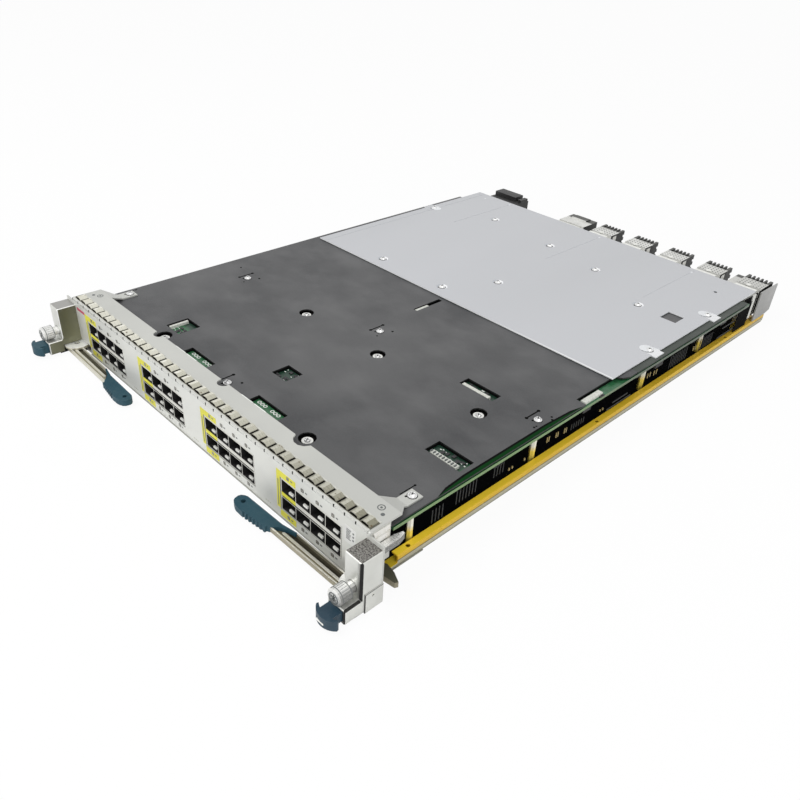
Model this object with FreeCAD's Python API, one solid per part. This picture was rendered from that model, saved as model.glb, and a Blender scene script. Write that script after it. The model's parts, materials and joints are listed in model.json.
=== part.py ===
import FreeCAD, Part
import math
import os

os.makedirs("parts", exist_ok=True)
V = FreeCAD.Vector
X_AXIS, Y_AXIS, Z_AXIS = V(1, 0, 0), V(0, 1, 0), V(0, 0, 1)

# A line card for a modular switch, lying on its sheet-metal tray. X runs along the faceplate,
# +Y goes back to the backplane connectors, +Z is up. The origin is at the middle of the
# faceplate's front face, on the surface that the card lies on. All sizes are in millimetres.

# Overall sizes
card_width = 389.0
card_depth = 551.0
panel_top = 45.4
panel_bottom = 0.6
sheet = 1.2

# Faceplate
ear_width = 11.5
panel_main_width = card_width - 2 * ear_width
ear_drop = 2.6
flange_depth = 24.6
return_depth = 11.0
side_flange_depth = 16.0
side_flange_bottom = 17.0
cutout_gap = 0.6
tongue_root_width = 20.0
tongue_end_width = 9.5
tongue_slope_end = 36.0
tab_end = 49.0
notch_shift = 7.1
notch_ring_radius = 7.8
notch_screw_radius = 4.8
lever_slot_in = 15.0
lever_slot_out = 4.0

# Ports: four groups of two rows by four columns
group_count = 4
columns = 4
port_pitch = 14.25
panel_margin = 24.45
group_gap = (panel_main_width - 2 * panel_margin - group_count * columns * port_pitch) / (group_count - 1)
group_pitch = columns * port_pitch + group_gap
port_height = 9.8
row_gap = 4.4
port_floor = 8.0
cage_wall = 0.5
cage_depth = 49.0
cage_setback = 0.3
socket_depth = 6.0
nose_depth = 7.0
latch_front = 3.0
latch_length = 6.0
latch_rise = 0.9
led_radius = 1.4
led_clearance = 0.15
led_length = 8.0
led_rise = 4.4
led_drop = 3.4

# Tray
rail_inset = 14.5
tray_half = card_width / 2 - rail_inset
tray_rear = card_depth - 11.0
tray_thick = 1.2
skin_thick = 0.6
skin_front = -skin_thick
skin_half = tray_half + 1.2
rail_front = 27.0
rail_height = 6.4
rail_lip = 5.5

# Board and covers
board_half = tray_half + 1.2
board_front = 20.0
board_rear = card_depth - 41.0
board_thick = 2.4
cover_gap = 1.6
cover_thick = 1.2
cover_half = board_half + 0.2
cover_front = board_front - 2.0
cover_rear = board_rear - 32.0
shield_gap = 0.6
shield_thick = 0.8
shield_half = board_half - 5.8
shield_length = 252.0
shield_rear = board_rear - 2.0
shield_front = shield_rear - shield_length

# Fasteners
screw_head_radius = 3.0
screw_head_height = 1.8
screw_radius = 1.4
standoff_radius = 2.0
ring_radius = 6.2

# Ejector housings, levers, release buttons and captive screws
housing_width = 14.4
housing_depth = 15.4
foot_reach = 27.1
housing_top = 40.0
foot_top = 12.2
housing_bottom = 1.6
wall = 1.2
edge_bevel = 1.5
guard_thick = 0.5
lever_low = 2.2
lever_thick = 4.2
pivot_in = 15.7
pivot_front = 5.0
pivot_plate_thick = 1.0
pin_radius = 2.0
pin_clearance = 0.3
lever_rest = 1.0
arm_length = 88.0
grip_length = 107.0
hub_radius = 10.0
running_gap = 0.4
captive_height = 18.4
captive_head_radius = 5.7
captive_head_length = 9.0
captive_gap = 4.6
captive_neck_radius = 3.5
captive_neck_length = 7.0
captive_radius = 2.2
captive_waist = 1.9
thread_start = 1.4
captive_tip = 6.0
captive_wall_front = 5.2
captive_wall_rear = 3.8
clip_radius = 3.0
button_width = 10.6
button_reach = 38.0
guide_height = 32.6
guide_radius = 2.6
guide_reach = 23.0

# Backplane connectors
connector_rear = card_depth
connector_low = 12.0
connector_top = 37.2
connector_length = 28.0
fabric_count = 5
fabric_width = 25.0
fabric_pitch = 42.75
fabric_end = tray_half - 5.0
plain_width = 33.0
power_width = 40.5
power_end = -tray_half + 7.0

# Heights that follow from the sizes above
tray_top = skin_thick + tray_thick
cage_low = port_floor - cage_wall
cutout_low = cage_low - cutout_gap
upper_floor = port_floor + port_height + row_gap
board_bottom = upper_floor + port_height + 1.4
cutout_top = board_bottom + cutout_gap / 2
board_top = board_bottom + board_thick
cover_bottom = board_top + cover_gap
cover_top = cover_bottom + cover_thick
shield_bottom = cover_top + shield_gap
shield_top = shield_bottom + shield_thick
ear_top = panel_top - ear_drop
half_main = panel_main_width / 2
half_card = card_width / 2 - guard_thick
group_half = columns * port_pitch / 2
housing_in = half_card - housing_width
housing_mid = half_card - housing_width / 2
pivot_x = half_card - pivot_in
pivot_y = -pivot_front
lever_top = lever_low + lever_thick
bay_top = lever_top + 2 * running_gap + 0.1

group_centres = [(k - (group_count - 1) / 2) * group_pitch for k in range(group_count)]


def box(x0, x1, y0, y1, z0, z1):
    return Part.makeBox(x1 - x0, y1 - y0, z1 - z0, V(x0, y0, z0))


def rod(x, y, z, radius, length, axis=Z_AXIS):
    return Part.makeCylinder(radius, length, V(x, y, z), axis)


def flat_rod(x, y, z, radius, length, axis=Z_AXIS, sides=12, tip=None):
    """A rod or hole with flat sides, for small round features. It can taper to another radius."""
    rings = []
    for reach, r in ((0, radius), (length, radius if tip is None else tip)):
        size = r * (1 + 1 / math.cos(math.pi / sides)) / 2
        angles = [2 * math.pi * (k + 0.5) / sides for k in range(sides)]
        rings.append(Part.makePolygon([V(size * math.cos(a), size * math.sin(a), reach)
                                       for a in angles + angles[:1]]))
    solid = Part.makeLoft(rings, True, True)
    solid.Placement = FreeCAD.Placement(V(x, y, z), FreeCAD.Rotation(Z_AXIS, axis))
    return solid


def face_of(points):
    corners = [V(*p) for p in points]
    return Part.Face(Part.makePolygon(corners + corners[:1]))


def prism(points, sweep):
    return face_of(points).extrude(V(*sweep))


def fuse(shapes):
    joined = shapes[0]
    if len(shapes) > 1:
        joined = shapes[0].multiFuse(shapes[1:])
    return joined.removeSplitter()


def cut(shape, tools):
    return shape.cut(Part.makeCompound(tools)) if tools else shape


def mirrored(shape):
    return shape.mirror(V(0, 0, 0), X_AXIS)


def edges_where(shape, test):
    return [e for e in shape.Edges if test(e)]


def along(edge, axis):
    ends = [v.Point for v in edge.Vertexes]
    return len(ends) == 2 and (ends[1] - ends[0]).normalize().cross(axis).Length < 0.001


def export(shape, name):
    solids = shape.Solids
    body = solids[0] if len(solids) == 1 else Part.makeCompound(solids)
    body.exportStep("parts/%s.step" % name)
    low, high = body.BoundBox, body.BoundBox
    print("%-24s %3d solids  x %7.1f %7.1f  y %7.1f %7.1f  z %6.1f %6.1f" % (
        name, len(solids), low.XMin, high.XMax, low.YMin, high.YMax, low.ZMin, high.ZMax))


# Faceplate: one folded sheet with ears, a top flange, side flanges and a bottom return

def column_centres(centre):
    return [centre + (k - (columns - 1) / 2) * port_pitch for k in range(columns)]


led_places = []
for group in group_centres:
    for column in column_centres(group):
        led_places.append((column, upper_floor + port_height + led_rise))
        led_places.append((column, port_floor - led_drop))

def on_board(across, back):
    """A place on the board: across is a share of its half width, back a share of its depth."""
    return (across * board_half, back * board_rear)


def on_shield(across, back):
    """A place on the shield: back is a share of its length from its front edge."""
    return (across * board_half, shield_front + back * shield_length)


notch_line = flange_depth + 6.8
ring_screws = [(-0.505 * board_half, notch_line), (0.4724 * board_half, notch_line + 2.0),
               on_board(-0.2991, 0.2804),
               on_board(0.191, 0.2804), on_board(0.7655, 0.2804)]
slot_screws = [on_board(-0.7726, 0.2804), on_board(0.048, 0.3322), (-0.0143 * board_half, notch_line - 0.8),
               on_board(0.9426, 0.3308)]
ear_screws = [(-board_half + 9.7, tab_end - 4.5), (board_half - 9.7, tab_end - 4.5)]
shield_screws = [on_shield(-0.5651, 0.766), on_shield(-0.0955, 0.7184), on_shield(0.2671, 0.6627),
                 on_shield(0.0442, 0.2579), on_shield(-0.0966, 0.0608), on_shield(0.6523, 0.5218),
                 on_shield(-0.5364, 0.0618)]
tab_inset = 5.9
tab_screws = [(-shield_half + tab_inset, on_shield(0, 0.6528)[1]),
              (shield_half - tab_inset, on_shield(0, 0.2541)[1]),
              (shield_half - tab_inset, on_shield(0, 0.6528)[1])]
blind_posts = [on_board(-0.9465, 0.9549), on_board(0.9465, 0.9549), on_board(-0.9465, 0.3308),
               on_board(-0.9354, 0.6275)]
flange_notches = [(ring_screws[0], notch_screw_radius), (ring_screws[1], notch_ring_radius),
                  (slot_screws[2], notch_screw_radius)]


def tongue():
    root, tip = half_main - tongue_root_width, ear_screws[1][0]
    inner, outer = tip - tongue_end_width / 2, tip + tongue_end_width / 2
    drop = panel_top - (cover_top + sheet)
    plan = prism([(root, flange_depth, 0), (half_main, flange_depth, 0), (outer, tongue_slope_end - 3, 0),
                  (outer, tab_end, 0), (inner, tab_end, 0), (inner, tongue_slope_end, 0)], (0, 0, 60))
    slope = prism([(root, flange_depth, panel_top), (root, tongue_slope_end, panel_top - drop),
                   (root, tab_end, panel_top - drop), (root, tab_end, panel_top - drop - sheet),
                   (root, tongue_slope_end, panel_top - drop - sheet),
                   (root, flange_depth, panel_top - sheet)], (half_main - root, 0, 0))
    return slope.common(plan)


def faceplate():
    main = box(-half_main, half_main, 0, sheet, panel_bottom, panel_top)
    ears = box(-half_card, half_card, 0, sheet, panel_bottom, ear_top)
    flange = box(-half_main, half_main, 0, flange_depth, panel_top - sheet, panel_top)
    reach = group_centres[-1] + group_half
    bottom = box(-reach, reach, 0, return_depth, tray_top, tray_top + sheet)
    right_side = box(half_main - sheet, half_main, 0, side_flange_depth, side_flange_bottom, panel_top)
    sides = [right_side, mirrored(right_side)]
    plate = fuse([main, ears, flange, bottom] + sides)
    outer_bend = edges_where(plate, lambda e: along(e, X_AXIS) and e.Length > panel_main_width - 1
                             and abs(e.CenterOfMass.z - panel_top) < 0.01 and e.CenterOfMass.y < 0.01)
    plate = plate.makeFillet(sheet * 0.8, outer_bend)
    holes = []
    for centre in group_centres:
        holes.append(box(centre - group_half - cutout_gap - cage_wall,
                         centre + group_half + cutout_gap + cage_wall,
                         -1, sheet + 1, cutout_low, cutout_top))
    holes += [flat_rod(x, -1, z, led_radius + led_clearance, sheet + 2, Y_AXIS, 4) for x, z in led_places]
    holes += [flat_rod(place[0] + notch_shift, place[1] - notch_shift, panel_top - sheet - 1, radius, 4)
              for place, radius in flange_notches]
    for side in (-1, 1):
        inner, outer = side * (pivot_x - lever_slot_in), side * (half_card - lever_slot_out)
        holes.append(box(min(inner, outer), max(inner, outer), -1, sheet + 1, panel_bottom + 1.0,
                         bay_top + 0.6))
        holes.append(flat_rod(side * housing_mid, -1, captive_height, clip_radius + running_gap, sheet + 2,
                              Y_AXIS, 8))
        holes.append(flat_rod(side * housing_mid, -1, guide_height, guide_radius, sheet + 2, Y_AXIS, 8))
    plate = cut(plate, holes)
    return fuse([plate, tongue(), mirrored(tongue())])


# EMI spring fingers: a strip on the top bend and one on each side flange

finger_pitch = 9.525
finger_gap = 1.1
finger_thick = 0.4
finger_rise = 1.9
finger_front = 2.4
finger_rear = 8.8
strip_depth = 10.6
clip_drop = 1.5


def arch(span, rise, thick):
    """A thin pointed arch along X, its feet a span apart, as a face over the XY plane."""
    outer = [(0, 0, 0), (0.3 * span, 0, 0.88 * rise), (0.62 * span, 0, rise), (span, 0, 0)]
    inner = [(span - 1.5 * thick, 0, 0), (span / 2, 0, rise - thick), (1.5 * thick, 0, 0)]
    return face_of(outer + inner)


def top_gasket():
    count = int(panel_main_width // finger_pitch)
    start = -count * finger_pitch / 2
    leg = box(start, -start, -finger_thick, 0, panel_top - clip_drop, panel_top + finger_thick)
    strip = box(start, -start, -finger_thick, strip_depth, panel_top, panel_top + finger_thick)
    finger = arch(finger_pitch - finger_gap, finger_rise,
                  finger_thick).extrude(V(0, finger_rear - finger_front, 0))
    fingers = []
    for k in range(count):
        place = V(start + k * finger_pitch + finger_gap / 2, finger_front, panel_top + finger_thick)
        fingers.append(finger.translated(place))
    return fuse([leg, strip] + fingers)


side_gasket_low = captive_height + captive_radius + 1.8
side_finger_rise = 0.7


def side_gasket():
    ribs = 4
    height = panel_top - sheet - side_gasket_low - 0.5
    pitch = height / ribs
    strip = [box(half_main, half_main + finger_thick, 2.0, side_flange_depth - 1.0,
                 side_gasket_low, side_gasket_low + height)]
    rib = arch(pitch - 0.6, side_finger_rise, finger_thick / 2).extrude(V(0, side_flange_depth - 4.0, 0))
    rib.rotate(V(0, 0, 0), Y_AXIS, 90)
    for k in range(ribs):
        place = V(half_main + finger_thick, 2.5, side_gasket_low + height - k * pitch - 0.3)
        strip.append(rib.translated(place))
    return fuse(strip)


# Tray: a thin skin under a plated tray whose sides fold over into card-guide rails

def bottom_skin():
    plate = box(-skin_half, skin_half, skin_front, tray_rear - 3.0, 0, skin_thick)
    corner = box(pivot_x - lever_slot_in, skin_half + 1, skin_front - 1, 2.0, -1, 2)
    notch = box(skin_half - 1.0, skin_half + 1, 48.0, tray_rear, -1, 2)
    return cut(plate, [notch, mirrored(notch), corner, mirrored(corner)])


def base_tray():
    floor = box(-tray_half, tray_half, sheet, tray_rear, skin_thick, tray_top)
    profile = prism([(tray_half - sheet, rail_front, tray_top - 0.4), (tray_half, rail_front, tray_top - 0.4),
                     (tray_half, rail_front, rail_height + sheet),
                     (tray_half - rail_lip, rail_front, rail_height + sheet),
                     (tray_half - rail_lip, rail_front, rail_height),
                     (tray_half - sheet, rail_front, rail_height)],
                    (0, tray_rear - rail_front, 0))
    top_bend = edges_where(profile, lambda e: along(e, Y_AXIS) and abs(e.CenterOfMass.x - tray_half) < 0.01
                           and abs(e.CenterOfMass.z - rail_height - sheet) < 0.01)
    rail = profile.makeChamfer(sheet * 0.6, top_bend)
    tray = fuse([floor, rail, mirrored(rail)])
    corner = box(group_centres[-1] + group_half + 2, tray_half + 1, 0, 4.0, 0, 3)
    lip_holes = []
    for y in (rail_front + 11.0, 0.45 * tray_rear, 0.85 * tray_rear):
        lip_holes += [flat_rod(side * (tray_half - rail_lip / 2), y, rail_height - 1, 1.5, 4, sides=8)
                      for side in (-1, 1)]
    return cut(tray, [corner, mirrored(corner)] + lip_holes)


standoff_places = ring_screws + slot_screws + ear_screws + shield_screws + tab_screws + blind_posts


def standoffs():
    return Part.makeCompound([flat_rod(x, y, tray_top, standoff_radius, board_bottom - tray_top, sides=6)
                              for x, y in standoff_places])


# Board, black board cover and grey rear shield

def main_board():
    board = box(-board_half, board_half, board_front, board_rear, board_bottom, board_top)
    rear_corner = box(board_half - 14.0, board_half + 1, board_rear - 26.0, board_rear + 1,
                      board_bottom - 1, board_top + 1)
    return board.cut(rear_corner)


# Windows in the black cover, as x0, x1, y0, y1
def window(across, back, width, depth):
    x, y = on_board(across, back)
    return (x - width / 2, x + width / 2, y - depth / 2, y + depth / 2)


window_front_left = window(-0.5298, 0.0995, 19.0, 19.5)
window_edge_left = (-0.2525 * board_half - 15.7, -0.2525 * board_half + 15.7, cover_front - 1,
                    notch_line + 7.0)
window_edge_right = (0.2263 * board_half - 16.5, 0.2263 * board_half + 16.5, cover_front - 1,
                     notch_line + 7.5)
window_middle = window(0.0745, 0.1407, 17.0, 15.5)
window_label = window(0.6576, 0.3275, 31.7, 10.0)
window_front_right = window(0.875, 0.1784, 30.3, 14.0)
window_side = (board_half - 8.2, board_half + 2.8, 0.4157 * board_rear, 0.556 * board_rear)
window_rear = window(-0.005, 0.4627, 4.2, 32.0)
windows = [window_front_left, window_edge_left, window_edge_right, window_middle, window_label,
           window_front_right, window_side, window_rear]


def board_cover():
    plate = box(-cover_half, cover_half, cover_front, cover_rear, cover_bottom, cover_top)
    feet = [flat_rod(x, y, board_top, screw_radius + 2.2, cover_gap + 0.1, sides=4)
            for x, y in slot_screws + ear_screws + shield_screws + tab_screws + blind_posts if y < cover_rear]
    plate = fuse([plate] + feet)
    holes = [box(x0, x1, y0, y1, board_top - 1, cover_top + 1) for x0, x1, y0, y1 in windows]
    holes += [flat_rod(x, y, board_top - 1, ring_radius, 6, sides=12) for x, y in ring_screws]
    for x, y in slot_screws + ear_screws:
        holes.append(prism([(x - 7.0, y - 4.0, cover_bottom - 1), (x - 6.2, y - 4.0, cover_bottom - 1),
                            (x - 6.2, y + 8.0, cover_bottom - 1), (x - 5.6, y + 9.2, cover_bottom - 1),
                            (x - 6.6, y + 10.2, cover_bottom - 1), (x - 7.6, y + 9.2, cover_bottom - 1),
                            (x - 7.0, y + 8.0, cover_bottom - 1)], (0, 0, 4)))
    return cut(plate, holes)


dimple_radius = 5.2
dimple_floor_radius = 3.9


def dimple_cup(x, y):
    return flat_rod(x, y, cover_top, dimple_floor_radius + 0.6, shield_gap, sides=8, tip=dimple_radius + 0.6)


def rear_shield():
    plate = box(-shield_half, shield_half, shield_front, shield_rear, shield_bottom, shield_top)
    cups = [dimple_cup(x, y) for x, y in shield_screws]
    tabs = []
    for x, y in tab_screws:
        side = 1 if x > 0 else -1
        edge = side * shield_half
        far = side * (shield_half + 4.0)
        ends = sorted((side * (shield_half - 9.0), far))
        tabs.append(box(ends[0], ends[1], y - 6.5, y + 6.5, cover_top, cover_top + shield_thick))
        ramp = [(side * (shield_half - 12.0), y - 6.5, shield_top),
                (side * (shield_half - 12.0), y - 6.5, shield_bottom),
                (side * (shield_half - 9.5), y - 6.5, cover_top),
                (side * (shield_half - 8.0), y - 6.5, cover_top),
                (side * (shield_half - 8.0), y - 6.5, cover_top + shield_thick),
                (side * (shield_half - 9.2), y - 6.5, cover_top + shield_thick)]
        tabs.append(prism(ramp, (0, 13.0, 0)))
    notches = []
    for x, y in tab_screws:
        side = 1 if x > 0 else -1
        ends = sorted((side * (shield_half - 10.5), side * (shield_half + 1)))
        notches.append(box(ends[0], ends[1], y - 6.5, y + 6.5, shield_bottom - 0.01, shield_top + 1))
    plate = cut(plate, notches)
    plate = fuse([plate] + cups + tabs)
    wells = []
    for x, y in shield_screws:
        wells.append(flat_rod(x, y, shield_top - shield_gap, dimple_floor_radius, shield_gap + 0.01,
                              sides=8, tip=dimple_radius))
    holes = [flat_rod(*on_shield(0.8333, 0.8631), cover_top - 1, 2.0, 5, sides=6)]
    x, y = on_shield(0.836, 0.5307)
    holes.append(box(x - 7.5, x + 7.5, y - 8.2, y + 8.2, cover_top - 1, shield_top + 1))
    groove = 0.15
    for x in (-0.6843 * board_half, 0.011 * board_half, 0.6236 * board_half):
        holes.append(box(x - 0.3, x + 0.3, shield_rear - 0.41 * shield_length, shield_rear - 4,
                         shield_top - groove, shield_top + 1))
    holes.append(box(-shield_half + 8.5, -shield_half + 9.1, shield_front, shield_rear,
                     shield_top - groove, shield_top + 1))
    return cut(plate, wells + holes)


def cover_screws():
    seats = [(ring_screws, board_top), (slot_screws, cover_top), (ear_screws, cover_top + sheet),
             (shield_screws, shield_top - shield_gap), (tab_screws, cover_top + shield_thick)]
    return Part.makeCompound([flat_rod(x, y, seat, screw_head_radius, screw_head_height, sides=6)
                              for places, seat in seats for x, y in places])


# Port cages, their sockets, light pipes and the printed fields round the first column

def port_cage(centre):
    left, right = centre - group_half, centre + group_half
    top = board_bottom
    back = cage_setback + cage_depth
    shell = box(left - cage_wall, right + cage_wall, cage_setback, back, cage_low, top)
    hollows = []
    for column in column_centres(centre):
        inner = port_pitch / 2 - cage_wall / 2
        for low in (port_floor, upper_floor):
            hollows.append(box(column - inner, column + inner, cage_setback - 1, back - cage_wall, low,
                               low + port_height))
    slots = [box(left + 0.5, right - 0.5, cage_setback - 1, cage_setback + 3.0,
                 port_floor + port_height + 0.5, port_floor + port_height + 1.5)]
    shell = cut(shell, hollows + slots)
    latches = []
    for column in column_centres(centre):
        for low in (port_floor, upper_floor):
            latches.append(prism([(column - 3.0, latch_front, low - 0.1),
                                  (column - 3.0, latch_front, low + latch_rise),
                                  (column - 3.0, latch_front + 0.6, low + latch_rise),
                                  (column - 3.0, latch_front + latch_length, low - 0.1)], (6.0, 0, 0)))
    return fuse([shell] + latches)


def port_sockets():
    back = cage_setback + cage_depth - cage_wall
    pieces = []
    for centre in group_centres:
        for column in column_centres(centre):
            for low in (port_floor, upper_floor):
                pieces.append(box(column - 6.2, column + 6.2, back - socket_depth - nose_depth, back,
                                  low + 1.0, low + port_height - 2.2))
    return Part.makeCompound(pieces)


def light_pipes():
    return Part.makeCompound([flat_rod(x, -0.2, z, led_radius, led_length, Y_AXIS, 4) for x, z in led_places])


label_side = 3.4


def port_labels():
    ink = 0.12
    fields = []
    for centre in group_centres:
        left = centre - group_half
        edge = left - cutout_gap - cage_wall
        right = left + port_pitch + 0.6
        fields.append(box(edge, right, -ink, 0, cutout_top, cutout_top + 4.6))
        fields.append(box(edge - label_side, edge, -ink, 0, cutout_low + 1.0, cutout_top + 4.6))
        fields.append(box(edge, right, -ink, 0, cutout_low - 5.0, cutout_low))
        for column in column_centres(centre)[:1]:
            fields.append(box(column - port_pitch / 2, column + port_pitch / 2, cage_setback - ink,
                              cage_setback,
                              port_floor + port_height + 1.5, upper_floor))
    led_holes = [flat_rod(x, -1, z, led_radius + led_clearance, 3, Y_AXIS, 4) for x, z in led_places]
    return cut(Part.makeCompound(fields), led_holes)


def serial_label():
    left = group_centres[-1] + group_half + 3.4
    return box(left, left + 9.6, -0.12, 0, cutout_top - 8.7, cutout_top + 3.9)


def panel_stripe():
    right = group_centres[0] - group_half - cutout_gap - cage_wall - label_side - 0.2
    return box(-half_main + 6.5, right, -0.12, 0, cutout_top + 2.9, cutout_top + 5.3)


# Parts that hang below the board

chip_places = [on_board(0.6954, 0.1824), on_board(-0.0442, 0.1863), on_board(0.4139, 0.4353),
               on_board(-0.3863, 0.4216)]
chip_size = 40.0
chip_thick = 2.6
sink_width, sink_length = 76.0, 68.0
sink_base = 3.0
sink_height = 22.0
fin_pitch = 7.4
fin_thick = 1.4


def switch_chips():
    half = chip_size / 2
    return Part.makeCompound([box(x - half, x + half, y - half, y + half, board_bottom - chip_thick,
                                  board_bottom)
                              for x, y in chip_places])


def heat_sink(x, y):
    top = board_bottom - chip_thick
    block = box(x - sink_width / 2, x + sink_width / 2, y - sink_length / 2, y + sink_length / 2,
                top - sink_height, top)
    count = int((sink_length - fin_thick) // fin_pitch)
    first = y - (count * fin_pitch) / 2
    gaps = []
    for k in range(count):
        start = first + k * fin_pitch + fin_thick / 2
        gaps.append(box(x - sink_width, x + sink_width, start, start + fin_pitch - fin_thick,
                        top - sink_height - 1, top - sink_base))
    return cut(block, gaps)


def dc_converters():
    places = [on_board(-0.6623, 0.7745), on_board(-0.3311, 0.7745), on_board(0.3863, 0.7157)]
    return Part.makeCompound([box(x - 29, x + 29, y - 18, y + 18, board_bottom - 11.0, board_bottom)
                              for x, y in places])


def memory_chips():
    chips = []
    for row in range(2):
        for k in range(4):
            x = -25.0 + k * 30.0
            y = 0.5686 * board_rear + row * 15.0
            chips.append(box(x - 5.5, x + 5.5, y - 5.0, y + 5.0, board_bottom - 1.2, board_bottom))
    return Part.makeCompound(chips)


def capacitors():
    across, back = board_half - 23.0, board_rear * 0.375
    places = [(across, back + 14.0 * k) for k in range(4)] + [(-across, back + 14.0 * k) for k in range(2)]
    places += [(across, board_rear * 0.667 + 14.0 * k) for k in range(2)]
    return Part.makeCompound([flat_rod(x, y, board_bottom - 10.5, 4.0, 10.5, sides=6) for x, y in places])


def board_headers():
    tall = 2.2
    wide = [(window_front_left[0] + 1.5, window_front_left[0] + 3.7, window_front_left[2] + 1.5,
             window_front_left[3] - 1.5),
            (window_label[0] + 1.5, window_label[1] - 5.0, window_label[2] + 1.0, window_label[2] + 4.2),
            (window_front_right[0] + 3.5, window_front_right[1] - 4.5, window_front_right[2] + 1.2,
             window_front_right[2] + 5.2),
            (window_side[0] + 2.4, window_side[0] + 6.6, window_side[2] + 2.5, window_side[2] + 25.0),
            (window_rear[0] + 0.8, window_rear[1] - 0.8, window_rear[2] + 1.0, window_rear[3] - 16.0)]
    return Part.makeCompound([box(x0, x1, y0, y1, board_top, board_top + tall) for x0, x1, y0, y1 in wide])


# Backplane connectors

connector_front = connector_rear - connector_length
fabric_rights = [fabric_end - k * fabric_pitch for k in range(fabric_count - 1, -1, -1)]
comb_front = connector_rear - 11.0


def connector_block(left, right, top):
    root = box(left, right, board_rear + 0.4, connector_front + 1, connector_low, board_bottom)
    foot = box(left, right, board_rear - 18.0, board_rear + 1.0, connector_low, board_bottom)
    return fuse([root, foot, box(left, right, connector_front, connector_rear, connector_low, top)])


def fabric_connector(right):
    """A block whose rear third is a comb: slots from above and steps down its sides."""
    left = right - fabric_width
    block = connector_block(left, right, connector_top)
    pitch = fabric_width / 6
    slots = [box(left + (k + 0.7) * pitch, left + (k + 1.3) * pitch, comb_front, connector_rear + 1,
                 connector_top - 3.0, connector_top + 1) for k in range(5)]
    for level in (0.2, 0.45, 0.7):
        z = connector_low + level * (connector_top - connector_low)
        slots.append(box(right - 1.2, right + 1, connector_rear - 4.0, connector_rear + 1, z, z + 3.0))
    return cut(block, slots)


def plain_connector():
    right = fabric_rights[0] - fabric_width - 11.5
    left = right - plain_width
    block = connector_block(left, right, connector_top - 1.2)
    cap = box(left + 6.0, right - 8.0, comb_front - 1.0, connector_rear - 2.0, connector_top - 2,
              connector_top)
    groove = box(left - 1, right - 2.0, comb_front - 3.4, comb_front - 2.4, connector_top - 2.2,
                 connector_top + 1)
    return fuse([block, cap]).cut(groove)


def end_connector():
    """The last block carries a narrow guide on its inner side."""
    block = fabric_connector(fabric_end)
    inner = fabric_end - fabric_width
    guide = box(inner - 9.0, inner + 0.1, board_rear + 0.4, connector_rear - 4.0, connector_low,
                connector_top - 2.4)
    return block.fuse(guide).removeSplitter()


def power_connector():
    right = power_end + power_width
    block = connector_block(power_end, right, connector_top - 4.6)
    cap = box(power_end, right - 9.0, connector_rear - 15.0, connector_rear, connector_top - 6, connector_top)
    ridge = box(right - 5.0, right, connector_rear - 15.0, connector_rear - 2.0, connector_top - 6,
                connector_top - 1.4)
    mouth = box(power_end + 4, right - 4, connector_rear - 7.0, connector_rear + 1,
                connector_low + 8.0, connector_top - 10.0)
    return fuse([block, cap, ridge]).cut(mouth)


def connector_side_plate():
    x0 = tray_half - 0.2 - sheet
    low = rail_height + sheet
    return prism([(x0, board_rear + 2.0, low), (x0, tray_rear, low), (x0, connector_rear - 0.6, low + 2.0),
                  (x0, connector_rear - 0.6, connector_top + 0.6),
                  (x0, board_rear + 2.0, connector_top + 1.4)],
                 (sheet, 0, 0))


# Right ejector housing and its fittings; the left ones are mirror images

def housing():
    outline = prism([(housing_in, 0, housing_bottom), (housing_in, 0, housing_top),
                     (housing_in, -housing_depth, housing_top), (housing_in, -housing_depth, foot_top),
                     (housing_in, -foot_reach, foot_top), (housing_in, -foot_reach, housing_bottom)],
                    (housing_width, 0, 0))
    inner_corner = edges_where(outline,
                               lambda e: along(e, X_AXIS) and abs(e.CenterOfMass.y + housing_depth) < 0.01
                               and abs(e.CenterOfMass.z - foot_top) < 0.01)
    body = outline.makeChamfer(0.4, inner_corner)
    rounded = edges_where(body, lambda e: (e.CenterOfMass.y < -0.5 and e.CenterOfMass.z > housing_bottom + 0.5
                                           and not (e.CenterOfMass.z < foot_top + 3
                                                    and abs(e.CenterOfMass.y + housing_depth) < 3)))
    body = body.makeChamfer(0.6, rounded)
    bay = box(housing_in - 1, half_card - wall, -housing_depth, 1, 0, bay_top)
    foot_room = box(housing_mid - button_width / 2 - running_gap,
                    housing_mid + button_width / 2 + running_gap,
                    -foot_reach - 1, -housing_depth + 0.01, housing_bottom + 1.2, foot_top - wall)
    spring_bore = flat_rod(housing_mid, -housing_depth - 1, captive_height, captive_neck_radius + running_gap,
                           housing_depth + 1 - captive_wall_front, Y_AXIS)
    shank_bore = flat_rod(housing_mid, -captive_wall_front - 1, captive_height,
                          captive_radius + running_gap, 4, Y_AXIS, 8)
    clip_bore = flat_rod(housing_mid, -captive_wall_rear, captive_height, clip_radius + running_gap, 5,
                         Y_AXIS, 8)
    guide_bore = flat_rod(housing_mid, -8.0, guide_height, guide_radius, 9, Y_AXIS, 8)
    recess = box(half_card - 0.4, half_card + 1, -12.6, 1, 0, 15.0)
    front, low = -housing_depth, foot_top - edge_bevel
    upright = prism([(half_card - edge_bevel, front - 0.1, low), (half_card + 0.1, front - 0.1, low),
                     (half_card + 0.1, front + edge_bevel, low)], (0, 0, housing_top + 1 - low))
    along_foot = prism([(half_card - edge_bevel, -foot_reach - 1, foot_top + 0.1),
                        (half_card + 0.1, -foot_reach - 1, foot_top + 0.1),
                        (half_card + 0.1, -foot_reach - 1, foot_top - edge_bevel)],
                       (0, foot_reach + 1 + front + edge_bevel, 0))
    bevels = [upright, along_foot]
    return cut(body, [bay, foot_room, spring_bore, shank_bore, clip_bore, guide_bore, recess] + bevels)


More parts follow.
